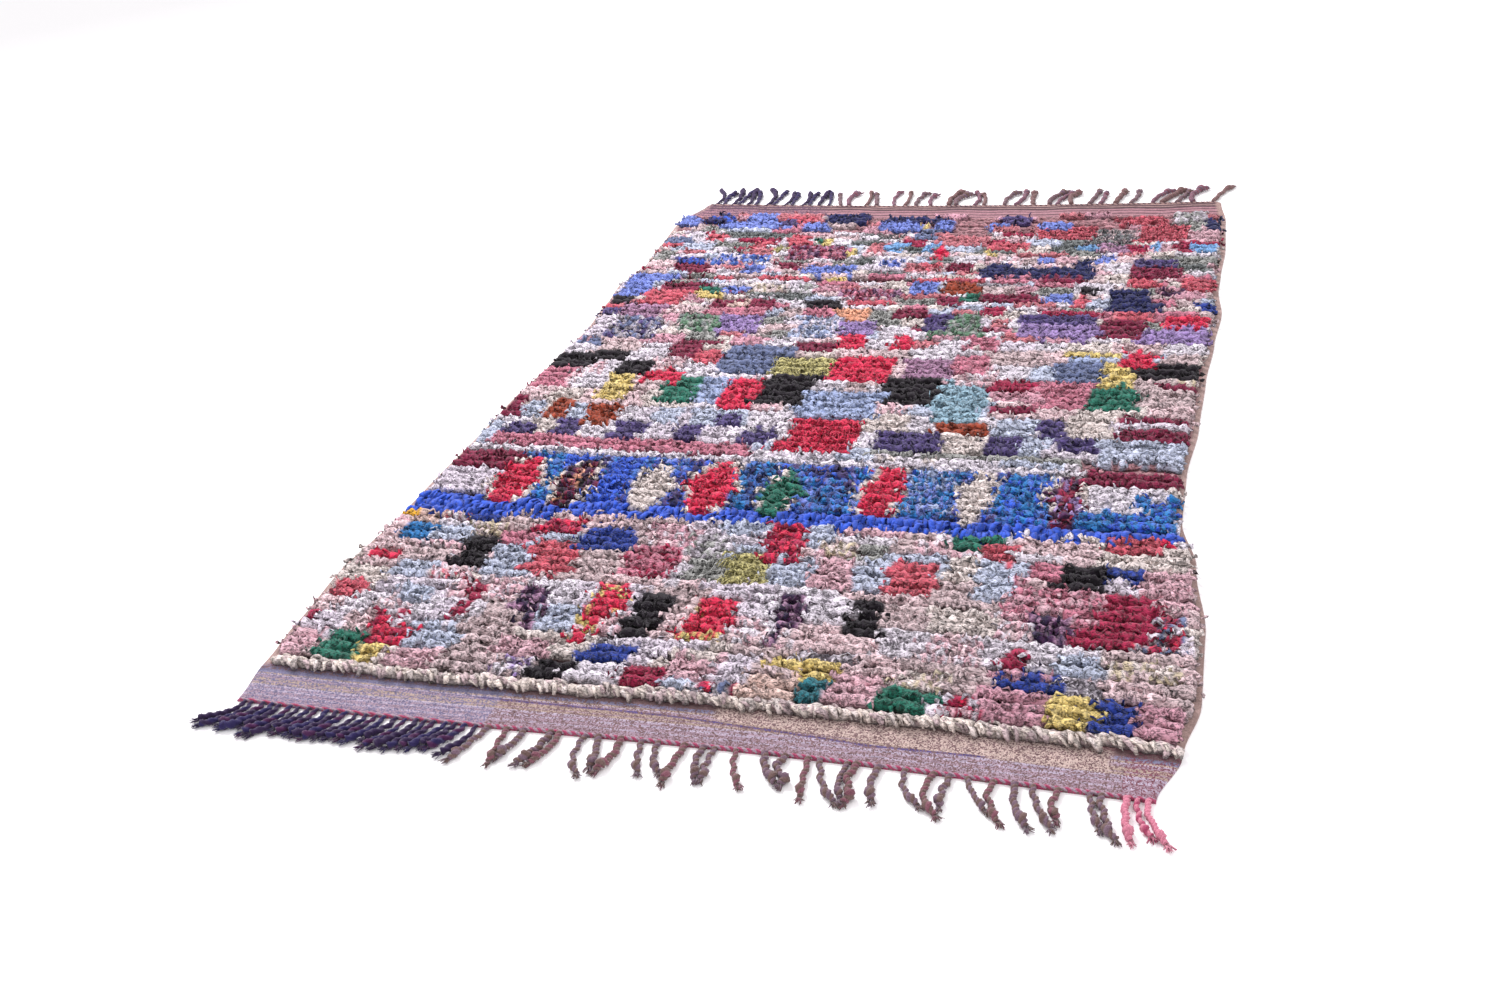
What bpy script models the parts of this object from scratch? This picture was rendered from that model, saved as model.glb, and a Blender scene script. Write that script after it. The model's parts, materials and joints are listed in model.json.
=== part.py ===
"""Boucherouite rug: rag pile knotted in rows on a woven ground, with warp fringes.

The rug lies flat on its underside. X runs across the rug, Y along it from the front end to the
back end, and Z up through the pile. Everything is in metres.
"""

import math
import random
from collections import namedtuple

import bmesh
import bpy

# Woven cloth
RUG_WIDTH = 1.40
RUG_LENGTH = 2.31
CLOTH_THICKNESS = 0.004
FRONT_BAND = 0.088
BACK_BAND = 0.105
FRONT_EDGE_WAVE = 0.006
BACK_EDGE_RISE = 0.024

# Rag pile
PILE_ROWS = 88
PILE_HEIGHT = 0.024
PILE_TROUGH = 0.012
PILE_LUMP = 0.22
TROUGH_LUMP = 0.20
PILE_DRIFT = 0.22
CREST_PLACE = 0.36
PILE_COLUMNS = 18
PILE_SHOULDER = 0.014
SHOULDER_SHARE = 0.9
BARE_SELVEDGE = 0.013
LOCK_REACH = 0.014
LOCK_HEIGHT = 0.009
RIGHT_LOCK_SHARE = 0.25
RIGHT_FOOT_SHARE = 0.8
BARE_LINE_ROW = 70
PILE_SEED = 11

# Fringe strips and strands
PIECE_GAP = 0.0004
STRIP_DEPTH = 0.008
STRAND_SEGMENTS = 5
STRAND_GAP = 0.0018
STRAND_TOP_SHARE = 0.66
STRAND_HEIGHT_SHARE = 0.85
TIP_CLEARANCE = 0.012
NEAR_STRANDS = 3
NEAR_STEPS = (-1.0, -0.5, 0.0, 0.5, 1.0)
SHORTEST_STRAND = 0.80
LONGEST_STRAND = 1.12
STRAND_SLACK = 0.12
CURL_START = 0.5
KNOT_SHARE = 1.3
TIP_SHARE = 0.7
FRINGE_SEED = 23

# Selvedges: distance from the front end, and how far each one stands out past the
# straight side of the rug (inwards where negative)
SIDES = (
    # along, left out, right out
    (0.00, -0.022, -0.024),
    (0.10, -0.008, 0.004),
    (0.21, 0.003, 0.023),
    (0.38, 0.016, 0.022),
    (0.56, 0.003, 0.002),
    (0.70, 0.004, -0.026),
    (0.86, 0.001, -0.026),
    (1.04, 0.003, -0.013),
    (1.24, -0.006, -0.008),
    (1.42, -0.013, 0.002),
    (1.58, 0.000, 0.012),
    (1.71, 0.013, 0.002),
    (1.80, -0.008, 0.004),
    (1.96, 0.005, 0.010),
    (2.16, 0.017, 0.006),
    (2.31, -0.020, -0.009),
)

# Fringe runs: the end of the rug, where the run starts and ends across it, how many strands,
# the length of a strand and its width, the sideways lean of the run's first and last strand
# for each metre of length, how much a strand bends for its length, how far its tip strays,
# and how unevenly the strands are spaced, as a share of their pitch
Run = namedtuple("Run", "name end start stop strands length width first_lean last_lean bend stray scatter")
RUNS = [Run(*row) for row in (
    # name, end, start, stop, strands, length, width, first lean, last lean, bend, stray, scatter
    ("fringe_front_aubergine", -1, -0.672, -0.263, 25, 0.074, 0.0074, -0.60, -0.35, 0.10, 0.008, 0.3),
    ("fringe_front_marled", -1, -0.263, 0.633, 31, 0.082, 0.0085, -0.05, 0.25, 0.22, 0.024, 0.7),
    ("fringe_front_raspberry", -1, 0.633, 0.675, 3, 0.080, 0.0080, 0.10, 0.30, 0.10, 0.006, 0.2),
    ("fringe_back_aubergine", 1, -0.672, -0.321, 14, 0.128, 0.0085, -0.05, -0.05, 0.14, 0.022, 0.6),
    ("fringe_back_marled", 1, -0.321, 0.680, 27, 0.126, 0.0085, -0.15, 0.40, 0.20, 0.030, 0.7),
)]

# A point of a strand: its place, its half width, and how far out it is from the cloth's end
Spot = namedtuple("Spot", "x y half out")

# Colours as linear red, green, blue, with a roughness
FINISHES = {
    "rug_body": (0.50, 0.40, 0.43, 0.95),
    "fringe_front_aubergine": (0.045, 0.022, 0.075, 0.90),
    "fringe_front_marled": (0.24, 0.16, 0.19, 0.92),
    "fringe_front_raspberry": (0.45, 0.10, 0.17, 0.92),
    "fringe_back_aubergine": (0.045, 0.022, 0.075, 0.90),
    "fringe_back_marled": (0.24, 0.16, 0.19, 0.92),
}


def clear_scene():
    for thing in list(bpy.data.objects):
        bpy.data.objects.remove(thing, do_unlink=True)


def blend(table, place, column):
    """Read a column of a table smoothly at a place between its rows."""
    for before, after in zip(table, table[1:]):
        if place <= after[0]:
            share = (place - before[0]) / (after[0] - before[0])
            share = max(0.0, share)
            share = share * share * (3.0 - 2.0 * share)
            return before[column] + (after[column] - before[column]) * share
    return table[-1][column]


def front_edge(x):
    """The front end of the cloth, which is nearly straight."""
    return -RUG_LENGTH / 2 + FRONT_EDGE_WAVE * math.sin(4.6 * x + 0.8)


def back_edge(x):
    """The back end, which is drawn in at its middle."""
    across = x / (RUG_WIDTH / 2)
    return RUG_LENGTH / 2 - BACK_EDGE_RISE * (1.0 - across * across)


def left_side(along):
    return -RUG_WIDTH / 2 - blend(SIDES, along, 1)


def right_side(along):
    return RUG_WIDTH / 2 + blend(SIDES, along, 2)


def place(x, along, inset=0.0):
    """A point of the cloth: x across, and the distance along it from the front end.

    The inset is taken off both ends, where the fringe strips lie.
    """
    low = front_edge(x) + inset
    high = back_edge(x) - inset
    return low + (high - low) * along / RUG_LENGTH


def pile_lines():
    """The lines across the rug as (distance along, kind), front to back."""
    pitch = (RUG_LENGTH - FRONT_BAND - BACK_BAND) / PILE_ROWS
    lines = [(0.0, "flat"), (FRONT_BAND / 2, "flat"), (FRONT_BAND, "flat")]
    for row in range(PILE_ROWS):
        start = FRONT_BAND + row * pitch
        if row:
            lines.append((start, "flat" if row == BARE_LINE_ROW else "trough"))
        lines.append((start + CREST_PLACE * pitch, "crest"))
    back = RUG_LENGTH - BACK_BAND
    lines += [(back, "flat"), (back + BACK_BAND / 2, "flat"), (RUG_LENGTH, "flat")]
    return lines


def pile_level(kind, rng):
    """The height of the pile at one point of a line."""
    if kind == "crest":
        return PILE_HEIGHT * (1.0 + PILE_LUMP * rng.uniform(-1.0, 1.0))
    if kind == "trough":
        return PILE_TROUGH * (1.0 + TROUGH_LUMP * rng.uniform(-1.0, 1.0))
    return CLOTH_THICKNESS


def shoulder_level(kind, rng):
    """The height of the pile where it rounds down to a selvedge."""
    return max(SHOULDER_SHARE * pile_level(kind, rng), CLOTH_THICKNESS)


def line_points(along, kind, rng):
    """One line across the rug as (x, height), from the left selvedge to the right one.

    A crest ends in a lock past the left selvedge. On the right the pile stops short of a
    bare selvedge, which its locks reach by different lengths.
    """
    left = left_side(along)
    right = right_side(along)
    crest = kind == "crest"
    lock = LOCK_REACH * rng.random() if crest else 0.0
    bare = BARE_SELVEDGE * rng.uniform(0.7, 1.3)
    first = left + PILE_SHOULDER
    last = right - bare - PILE_SHOULDER
    points = [(left - lock, LOCK_HEIGHT if crest else CLOTH_THICKNESS), (first, shoulder_level(kind, rng))]
    step = (last - first) / (PILE_COLUMNS + 1)
    for column in range(1, PILE_COLUMNS + 1):
        drift = step * PILE_DRIFT * rng.uniform(-1.0, 1.0) if crest else 0.0
        points.append((first + step * column + drift, pile_level(kind, rng)))
    points.append((last, shoulder_level(kind, rng)))
    points.append((right - bare + RIGHT_FOOT_SHARE * lock, CLOTH_THICKNESS))
    points.append((right + RIGHT_LOCK_SHARE * lock, CLOTH_THICKNESS))
    return points


def make_object(name, bm):
    """Close off a bmesh as one object with its own material."""
    bmesh.ops.triangulate(bm, faces=bm.faces[:])
    bmesh.ops.recalc_face_normals(bm, faces=bm.faces[:])
    mesh = bpy.data.meshes.new(name)
    bm.to_mesh(mesh)
    bm.free()
    body = bpy.data.objects.new(name, mesh)
    bpy.context.scene.collection.objects.link(body)
    red, green, blue, roughness = FINISHES[name]
    material = bpy.data.materials.new(name + "_wool")
    material.use_nodes = True
    shader = material.node_tree.nodes["Principled BSDF"]
    shader.inputs["Base Color"].default_value = (red, green, blue, 1.0)
    shader.inputs["Roughness"].default_value = roughness
    shader.inputs["Metallic"].default_value = 0.0
    mesh.materials.append(material)
    return body


def make_rug_body():
    """The woven cloth and its pile as one solid with a flat underside."""
    rng = random.Random(PILE_SEED)
    bm = bmesh.new()
    inset = STRIP_DEPTH + PIECE_GAP
    grid = []
    for along, kind in pile_lines():
        points = line_points(along, kind, rng)
        grid.append([bm.verts.new((x, place(x, along, inset), z)) for x, z in points])
    for near, far in zip(grid, grid[1:]):
        for column in range(len(near) - 1):
            bm.faces.new((near[column], near[column + 1], far[column + 1], far[column]))
    # Underside: the rims drop to the floor, and both ends have a wall under each column
    rims = [(bm.verts.new((row[0].co.x, row[0].co.y, 0.0)),
             bm.verts.new((row[-1].co.x, row[-1].co.y, 0.0))) for row in grid]
    for near, far, low, high in zip(grid, grid[1:], rims, rims[1:]):
        bm.faces.new((near[0], far[0], high[0], low[0]))
        bm.faces.new((near[-1], low[1], high[1], far[-1]))
    for end, step in ((0, 1), (-1, -1)):
        row = grid[end]
        foot = [bm.verts.new((vert.co.x, vert.co.y, 0.0)) for vert in row[1:-1]]
        foot = [rims[end][0]] + foot + [rims[end][1]]
        for column in range(len(row) - 1):
            bm.faces.new((row[column], foot[column], foot[column + 1], row[column + 1]))
        inner = rims[end + step]
        bm.faces.new(foot + [inner[1], inner[0]])
    for low, high in zip(rims[1:-2], rims[2:-1]):
        bm.faces.new((low[0], high[0], high[1], low[1]))
    return make_object("rug_body", bm)


def right_of(route, out):
    """How far right a strand reaches at a distance out from the end of the cloth.

    Past its tip the reach falls away to the left, so that the next strand can pass round it.
    """
    for near, far in zip(route, route[1:]):
        if out <= far.out:
            share = max(0.0, (out - near.out) / (far.out - near.out))
            return near.x + near.half + (far.x + far.half - near.x - near.half) * share
    past = max(0.0, out - route[-1].out - TIP_CLEARANCE)
    return route[-1].x + route[-1].half - past


def strand_route(run, number, laid, rng):
    """The centre line of a strand on the floor: its points with the half width at each.

    A strand lies to the right of the strands already laid, and never on one.
    """
    share = (number + 0.5) / run.strands
    pitch = (run.stop - run.start) / run.strands
    x = run.start + pitch * (number + 0.5 + run.scatter * rng.uniform(-0.5, 0.5))
    y = front_edge(x) if run.end < 0 else back_edge(x)
    reach = run.length * rng.uniform(SHORTEST_STRAND, LONGEST_STRAND)
    lean = run.first_lean + (run.last_lean - run.first_lean) * share
    tip = lean * reach + run.stray * rng.uniform(-1.0, 1.0)
    bow = run.bend * reach * rng.uniform(-0.5, 0.5)
    curl = run.stray * rng.uniform(-1.0, 1.0)
    route = []
    for index in range(STRAND_SEGMENTS + 1):
        part = index / STRAND_SEGMENTS
        out = reach * part * (1.0 - STRAND_SLACK * part)
        side = tip * part * part + bow * math.sin(math.pi * part)
        side += curl * max(0.0, part - CURL_START) ** 2
        half = run.width / 2
        if index == STRAND_SEGMENTS - 1:
            half *= KNOT_SHARE
        if index == STRAND_SEGMENTS:
            half *= TIP_SHARE
        spot = x + side
        for other in laid[-NEAR_STRANDS:]:
            for step in NEAR_STEPS:
                spot = max(spot, right_of(other, out + step * run.width) + half + STRAND_GAP)
        if index == 0:
            x = min(spot, run.stop - run.width)
            spot = x
        route.append(Spot(spot, y + run.end * out, half, out))
    return route


def fringe_routes(end):
    """Every strand's route at one end of the rug, by the name of its run, from left to right."""
    rng = random.Random(FRINGE_SEED + end)
    routes = {}
    laid = []
    for run in RUNS:
        if run.end == end:
            for number in range(run.strands):
                laid.append(strand_route(run, number, laid, rng))
            routes[run.name] = laid[-run.strands:]
    return routes


def strand_rings(bm, run, route):
    """The rings of a strand past its root, each flat on the floor."""
    rings = []
    for index in range(1, len(route)):
        ahead = route[min(index + 1, len(route) - 1)]
        behind = route[index - 1]
        dx = ahead.x - behind.x
        dy = ahead.y - behind.y
        size = math.hypot(dx, dy)
        # Square to the strand, and pointing towards +X as the strip's stations do
        across = (run.end * dy / size, -run.end * dx / size)
        x, y, half = route[index][:3]
        height = run.width * (STRAND_HEIGHT_SHARE if index < len(route) - 1 else TIP_SHARE)
        top = half * STRAND_TOP_SHARE
        rings.append([
            bm.verts.new((x - across[0] * half, y - across[1] * half, 0.0)),
            bm.verts.new((x + across[0] * half, y + across[1] * half, 0.0)),
            bm.verts.new((x + across[0] * top, y + across[1] * top, height)),
            bm.verts.new((x - across[0] * top, y - across[1] * top, height)),
        ])
    return rings


def make_fringe(run, routes):
    """A narrow strip of the cloth's end with its strands drawn out of its outer wall."""
    stations = [run.start + PIECE_GAP / 2]
    for route in routes:
        stations += [route[0].x - run.width / 2, route[0].x + run.width / 2]
    stations.append(run.stop - PIECE_GAP / 2)
    edge = front_edge if run.end < 0 else back_edge
    bm = bmesh.new()
    columns = []
    for x in stations:
        outer = edge(x)
        inner = outer - run.end * STRIP_DEPTH
        corners = ((inner, 0.0), (outer, 0.0), (outer, CLOTH_THICKNESS), (inner, CLOTH_THICKNESS))
        columns.append([bm.verts.new((x, y, z)) for y, z in corners])
    for index, (near, far) in enumerate(zip(columns, columns[1:])):
        bm.faces.new((near[0], far[0], far[1], near[1]))
        bm.faces.new((near[2], far[2], far[3], near[3]))
        bm.faces.new((near[3], far[3], far[0], near[0]))
        if index % 2 == 0:
            bm.faces.new((near[1], far[1], far[2], near[2]))
            continue
        ring = [near[1], far[1], far[2], near[2]]
        for following in strand_rings(bm, run, routes[index // 2]):
            for corner in range(4):
                after = (corner + 1) % 4
                bm.faces.new((ring[corner], ring[after], following[after], following[corner]))
            ring = following
        bm.faces.new(ring)
    bm.faces.new(columns[0])
    bm.faces.new(columns[-1])
    return make_object(run.name, bm)


def centre_on_floor(bodies):
    """Move the rug so that its box stands centred on the origin."""
    points = [vert.co for body in bodies for vert in body.data.vertices]
    middle_x = (min(p.x for p in points) + max(p.x for p in points)) / 2
    middle_y = (min(p.y for p in points) + max(p.y for p in points)) / 2
    for body in bodies:
        for vert in body.data.vertices:
            vert.co.x -= middle_x
            vert.co.y -= middle_y


def main():
    clear_scene()
    bodies = [make_rug_body()]
    routes = {**fringe_routes(-1), **fringe_routes(1)}
    for run in RUNS:
        bodies.append(make_fringe(run, routes[run.name]))
    centre_on_floor(bodies)
    for body in bodies:
        print(body.name, len(body.data.polygons), "triangles")


main()
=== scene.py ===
"""Boucherouite rug: its rag pile, woven ground and knotted warp fringes, on a pale floor.

X runs across the rug, Y along it from the front end to the back end, and Z up. All sizes are
in metres, and the chart of the rags is in centimetres from the middle of the cloth.
"""

import json
import math
import random
from collections import namedtuple

import bmesh
import bpy
import numpy as np
from bpy.props import FloatProperty, FloatVectorProperty, IntProperty, PointerProperty
from mathutils import Matrix, Vector

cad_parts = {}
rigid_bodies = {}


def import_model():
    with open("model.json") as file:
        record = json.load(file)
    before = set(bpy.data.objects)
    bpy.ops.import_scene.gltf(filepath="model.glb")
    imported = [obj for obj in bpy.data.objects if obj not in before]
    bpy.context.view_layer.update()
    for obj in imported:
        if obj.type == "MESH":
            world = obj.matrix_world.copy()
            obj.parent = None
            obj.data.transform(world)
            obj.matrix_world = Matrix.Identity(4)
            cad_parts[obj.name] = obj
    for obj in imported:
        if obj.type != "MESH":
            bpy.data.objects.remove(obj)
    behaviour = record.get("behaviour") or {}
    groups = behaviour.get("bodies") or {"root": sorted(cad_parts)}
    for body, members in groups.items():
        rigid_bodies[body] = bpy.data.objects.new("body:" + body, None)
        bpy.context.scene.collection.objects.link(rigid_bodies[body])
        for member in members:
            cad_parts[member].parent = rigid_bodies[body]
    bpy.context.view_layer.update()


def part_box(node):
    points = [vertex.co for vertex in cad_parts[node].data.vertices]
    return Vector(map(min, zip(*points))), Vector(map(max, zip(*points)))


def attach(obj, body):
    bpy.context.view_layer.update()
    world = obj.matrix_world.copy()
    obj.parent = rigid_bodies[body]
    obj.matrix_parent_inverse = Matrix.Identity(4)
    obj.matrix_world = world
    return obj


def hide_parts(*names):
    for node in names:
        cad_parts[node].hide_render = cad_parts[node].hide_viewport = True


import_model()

bl_info = {
    "name": "Boucherouite rug",
    "version": (1, 0, 0),
    "blender": (4, 5, 0),
    "location": "3D View > Sidebar > Rug",
    "description": "Weaves, knots and fringes a rag rug and sets it on a pale floor",
    "category": "Add Mesh",
}

# The cloth, as its solid has it
RUG_WIDTH = 1.40
RUG_LENGTH = 2.31
CLOTH_THICKNESS = 0.004
FRONT_BAND = 0.088
BACK_BAND = 0.105
FRONT_EDGE_WAVE = 0.006
BACK_EDGE_RISE = 0.024
PILE_ROWS = 88
PILE_PIECES = 5
CREST_PLACE = 0.36
BARE_SELVEDGE = 0.004
LEFT_MARGIN = 0.019
RIGHT_MARGIN = 0.010
SELVEDGE_SHOWS = 0.95
ROW_PITCH = (RUG_LENGTH - FRONT_BAND - BACK_BAND) / PILE_ROWS

# The pile of the back half is worn down: between which distances from the front end the wear sets
# in, how far forward and up worn rag ends reach as a share of the others, and how many degrees
# further they turn aside
WEAR_START = 0.75
WEAR_END = 1.25
WORN_REACH = 0.68
WORN_HEIGHT = 0.90
WORN_SWING = 34.0

# The strips and strands, as their solids have them
PIECE_GAP = 0.0004
STRIP_DEPTH = 0.008
STRAND_SEGMENTS = 5
STRAND_GAP = 0.0018
TIP_CLEARANCE = 0.012
NEAR_STRANDS = 3
NEAR_STEPS = (-1.0, -0.5, 0.0, 0.5, 1.0)
SHORTEST_STRAND = 0.80
LONGEST_STRAND = 1.12
STRAND_SLACK = 0.12
CURL_START = 0.5
KNOT_SHARE = 1.3
TIP_SHARE = 0.7
FRINGE_SEED = 23

# Selvedges: distance from the front end, and how far each one stands out past the
# straight side of the rug (inwards where negative)
SIDES = (
    # along, left out, right out
    (0.00, -0.022, -0.024),
    (0.10, -0.008, 0.004),
    (0.21, 0.003, 0.023),
    (0.38, 0.016, 0.022),
    (0.56, 0.003, 0.002),
    (0.70, 0.004, -0.026),
    (0.86, 0.001, -0.026),
    (1.04, 0.003, -0.013),
    (1.24, -0.006, -0.008),
    (1.42, -0.013, 0.002),
    (1.58, 0.000, 0.012),
    (1.71, 0.013, 0.002),
    (1.80, -0.008, 0.004),
    (1.96, 0.005, 0.010),
    (2.16, 0.017, 0.006),
    (2.31, -0.020, -0.009),
)

# Fringe runs: the end of the rug, where the run starts and ends across it, how many strands,
# the length of a strand and its width, the sideways lean of the run's first and last strand
# for each metre of length, how much a strand bends for its length, how far its tip strays,
# and how unevenly the strands are spaced, as a share of their pitch
Run = namedtuple(
    "Run", "name end start stop strands length width first_lean last_lean bend stray scatter")
RUNS = [Run(*row) for row in (
    # name, end, start, stop, strands, length, width, first lean, last lean, bend, stray, scatter
    ("fringe_front_aubergine", -1, -0.672, -0.263, 25, 0.074, 0.0074, -0.60, -0.35, 0.10, 0.008, 0.3),
    ("fringe_front_marled", -1, -0.263, 0.633, 31, 0.082, 0.0085, -0.05, 0.25, 0.22, 0.024, 0.7),
    ("fringe_front_raspberry", -1, 0.633, 0.675, 3, 0.080, 0.0080, 0.10, 0.30, 0.10, 0.006, 0.2),
    ("fringe_back_aubergine", 1, -0.672, -0.321, 14, 0.128, 0.0085, -0.05, -0.05, 0.14, 0.022, 0.6),
    ("fringe_back_marled", 1, -0.321, 0.680, 27, 0.126, 0.0085, -0.15, 0.40, 0.20, 0.030, 0.7),
)]
Spot = namedtuple("Spot", "x y half out")

# The warp changes colour at these places across the rug
WARP_FIRST_CHANGE = -0.263
WARP_LAST_CHANGE = 0.633
WARP_BACK_CHANGE = -0.321

# Camera, in the cloth's own place before the whole rug was centred
CAMERA_PLACE = (0.7336, -2.6568, 1.2809)
CAMERA_HEADING = math.radians(20.08)
CAMERA_PITCH = math.radians(28.76)
CAMERA_ROLL = -0.116763
CAMERA_LENS_MM = 35.81
SENSOR_WIDTH_MM = 36.0

# Rag and yarn colours as they look, in sRGB
PALETTE = {
    "cream": "DDD0CB", "chalk": "E1D9E3", "blush": "E1C4C8", "lilac_white": "DCD1DE", "pale_blue": "BDC5DA",
    "peach": "DBBCB2", "pink": "DAAEB9", "dusty_pink": "CC96A6", "rose": "C6788D", "coral": "CC5869",
    "red": "D8224D", "crimson": "A32049", "maroon": "821E42", "plum": "461F48", "black": "1A111C",
    "navy": "262A5E", "indigo": "53457A", "cobalt": "2D5CD4", "royal": "213C96", "denim": "4470C0",
    "teal_blue": "2079BC", "periwinkle": "7487D6", "sky": "9FAED2", "aqua": "92B4C5", "violet": "9C82BA",
    "teal": "2A7480", "green": "22705D", "lime": "C2BA7A", "yellow": "DDC578", "gold": "E8AE1E",
    "rust": "9A3F24", "apricot": "EBA684", "taupe": "CBB4B6", "khaki": "CBBB9E", "marl": "A4A5A1",
    "dark_marl": "7E8484", "slate": "69759A", "mauve": "AA7F9F", "grey": "AEA6B0", "dark_grey": "5E5660",
    "moss": "5E8468", "sky_blue": "74A6DA", "silk_blue": "2A55CA", "brick_pink": "C6747E",
    "ground_rose": "CC929A", "rope_white": "E6D8CE", "aubergine": "2E1E42", "aubergine_blue": "2A2250",
    "raspberry": "A04262", "bark": "7A5A5C", "cord_mauve": "705A68", "cord_brown": "6A5450",
    "cord_rose": "7A4D59", "selvedge": "A08680", "rib": "AA767E", "band_mauve": "9E8896",
    "band_lilac": "AFA2B4", "band_gold": "AA968A", "band_sand": "BFAAA2", "band_slate": "7C7A96",
    "band_navy": "726C88", "band_brown": "765C5E", "back_brown": "553F45", "back_tan": "A08480",
    "back_rose": "A07880", "back_violet": "5A4058",
}
# Rags that were knotted in mixed handfuls
BLENDS = {
    "confetti": ("red", "crimson", "grey", "chalk", "slate"),
    "orchard": ("plum", "plum", "maroon", "apricot", "black"),
    "denim_mix": ("denim", "cobalt", "teal_blue", "periwinkle", "indigo"),
    "sea_mix": ("teal_blue", "denim", "cobalt", "teal_blue"),
    "night_mix": ("navy", "indigo", "cobalt"),
    "bay_mix": ("teal_blue", "navy", "denim"),
    "magenta_mix": ("plum", "crimson", "maroon", "violet"),
    "fair_mix": ("periwinkle", "teal_blue", "sky"),
    "rose_white": ("blush", "chalk", "pink"),
    "straw_mix": ("cream", "khaki", "taupe"),
    "ember_mix": ("red", "red", "yellow"),
    "string_mix": ("grey", "dark_grey", "chalk"),
    "speckle": ("pink", "coral", "chalk", "cream"),
    "grape_mix": ("aubergine", "mauve", "plum"),
    "fog": ("chalk", "grey", "marl"),
    "berry_mix": ("rose", "crimson", "rose"),
    "berry_cream": ("crimson", "chalk", "pink"),
    "cherry_mix": ("red", "crimson"),
    "lilac_mix": ("chalk", "violet", "taupe"),
    "rope_mix": ("rope_white", "cream", "rope_white", "taupe"),
    "moss_mix": ("moss", "marl", "moss", "dark_marl"),
    "mist_mix": ("pale_blue", "sky", "lilac_white", "slate"),
    "dusk_mix": ("indigo", "slate", "grey"),
    "wine_mix": ("mauve", "plum", "rose", "maroon"),
    "iris_mix": ("royal", "periwinkle", "lilac_white", "denim"),
    "thicket": ("dark_grey", "dark_marl", "taupe"),
    "rose_mottle": ("rose", "dusty_pink", "pink", "rose"),
    "pink_mottle": ("pink", "blush", "dusty_pink", "chalk"),
}

# Yarns that are no strips of cotton: fine hairy ends, silky strips and the thick rope of the first row
YARN_KINDS = {
    "marl": "shag", "dark_marl": "shag", "thicket": "shag", "lime": "shag", "string_mix": "shag",
    "red_shag": "shag", "coral_shag": "shag", "grey_shag": "shag", "cobalt_silk": "silk",
    "rope_mix": "rope",
}
YARN_COLOURS = {"red_shag": "red", "coral_shag": "coral", "grey_shag": "grey", "cobalt_silk": "silk_blue"}

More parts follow.
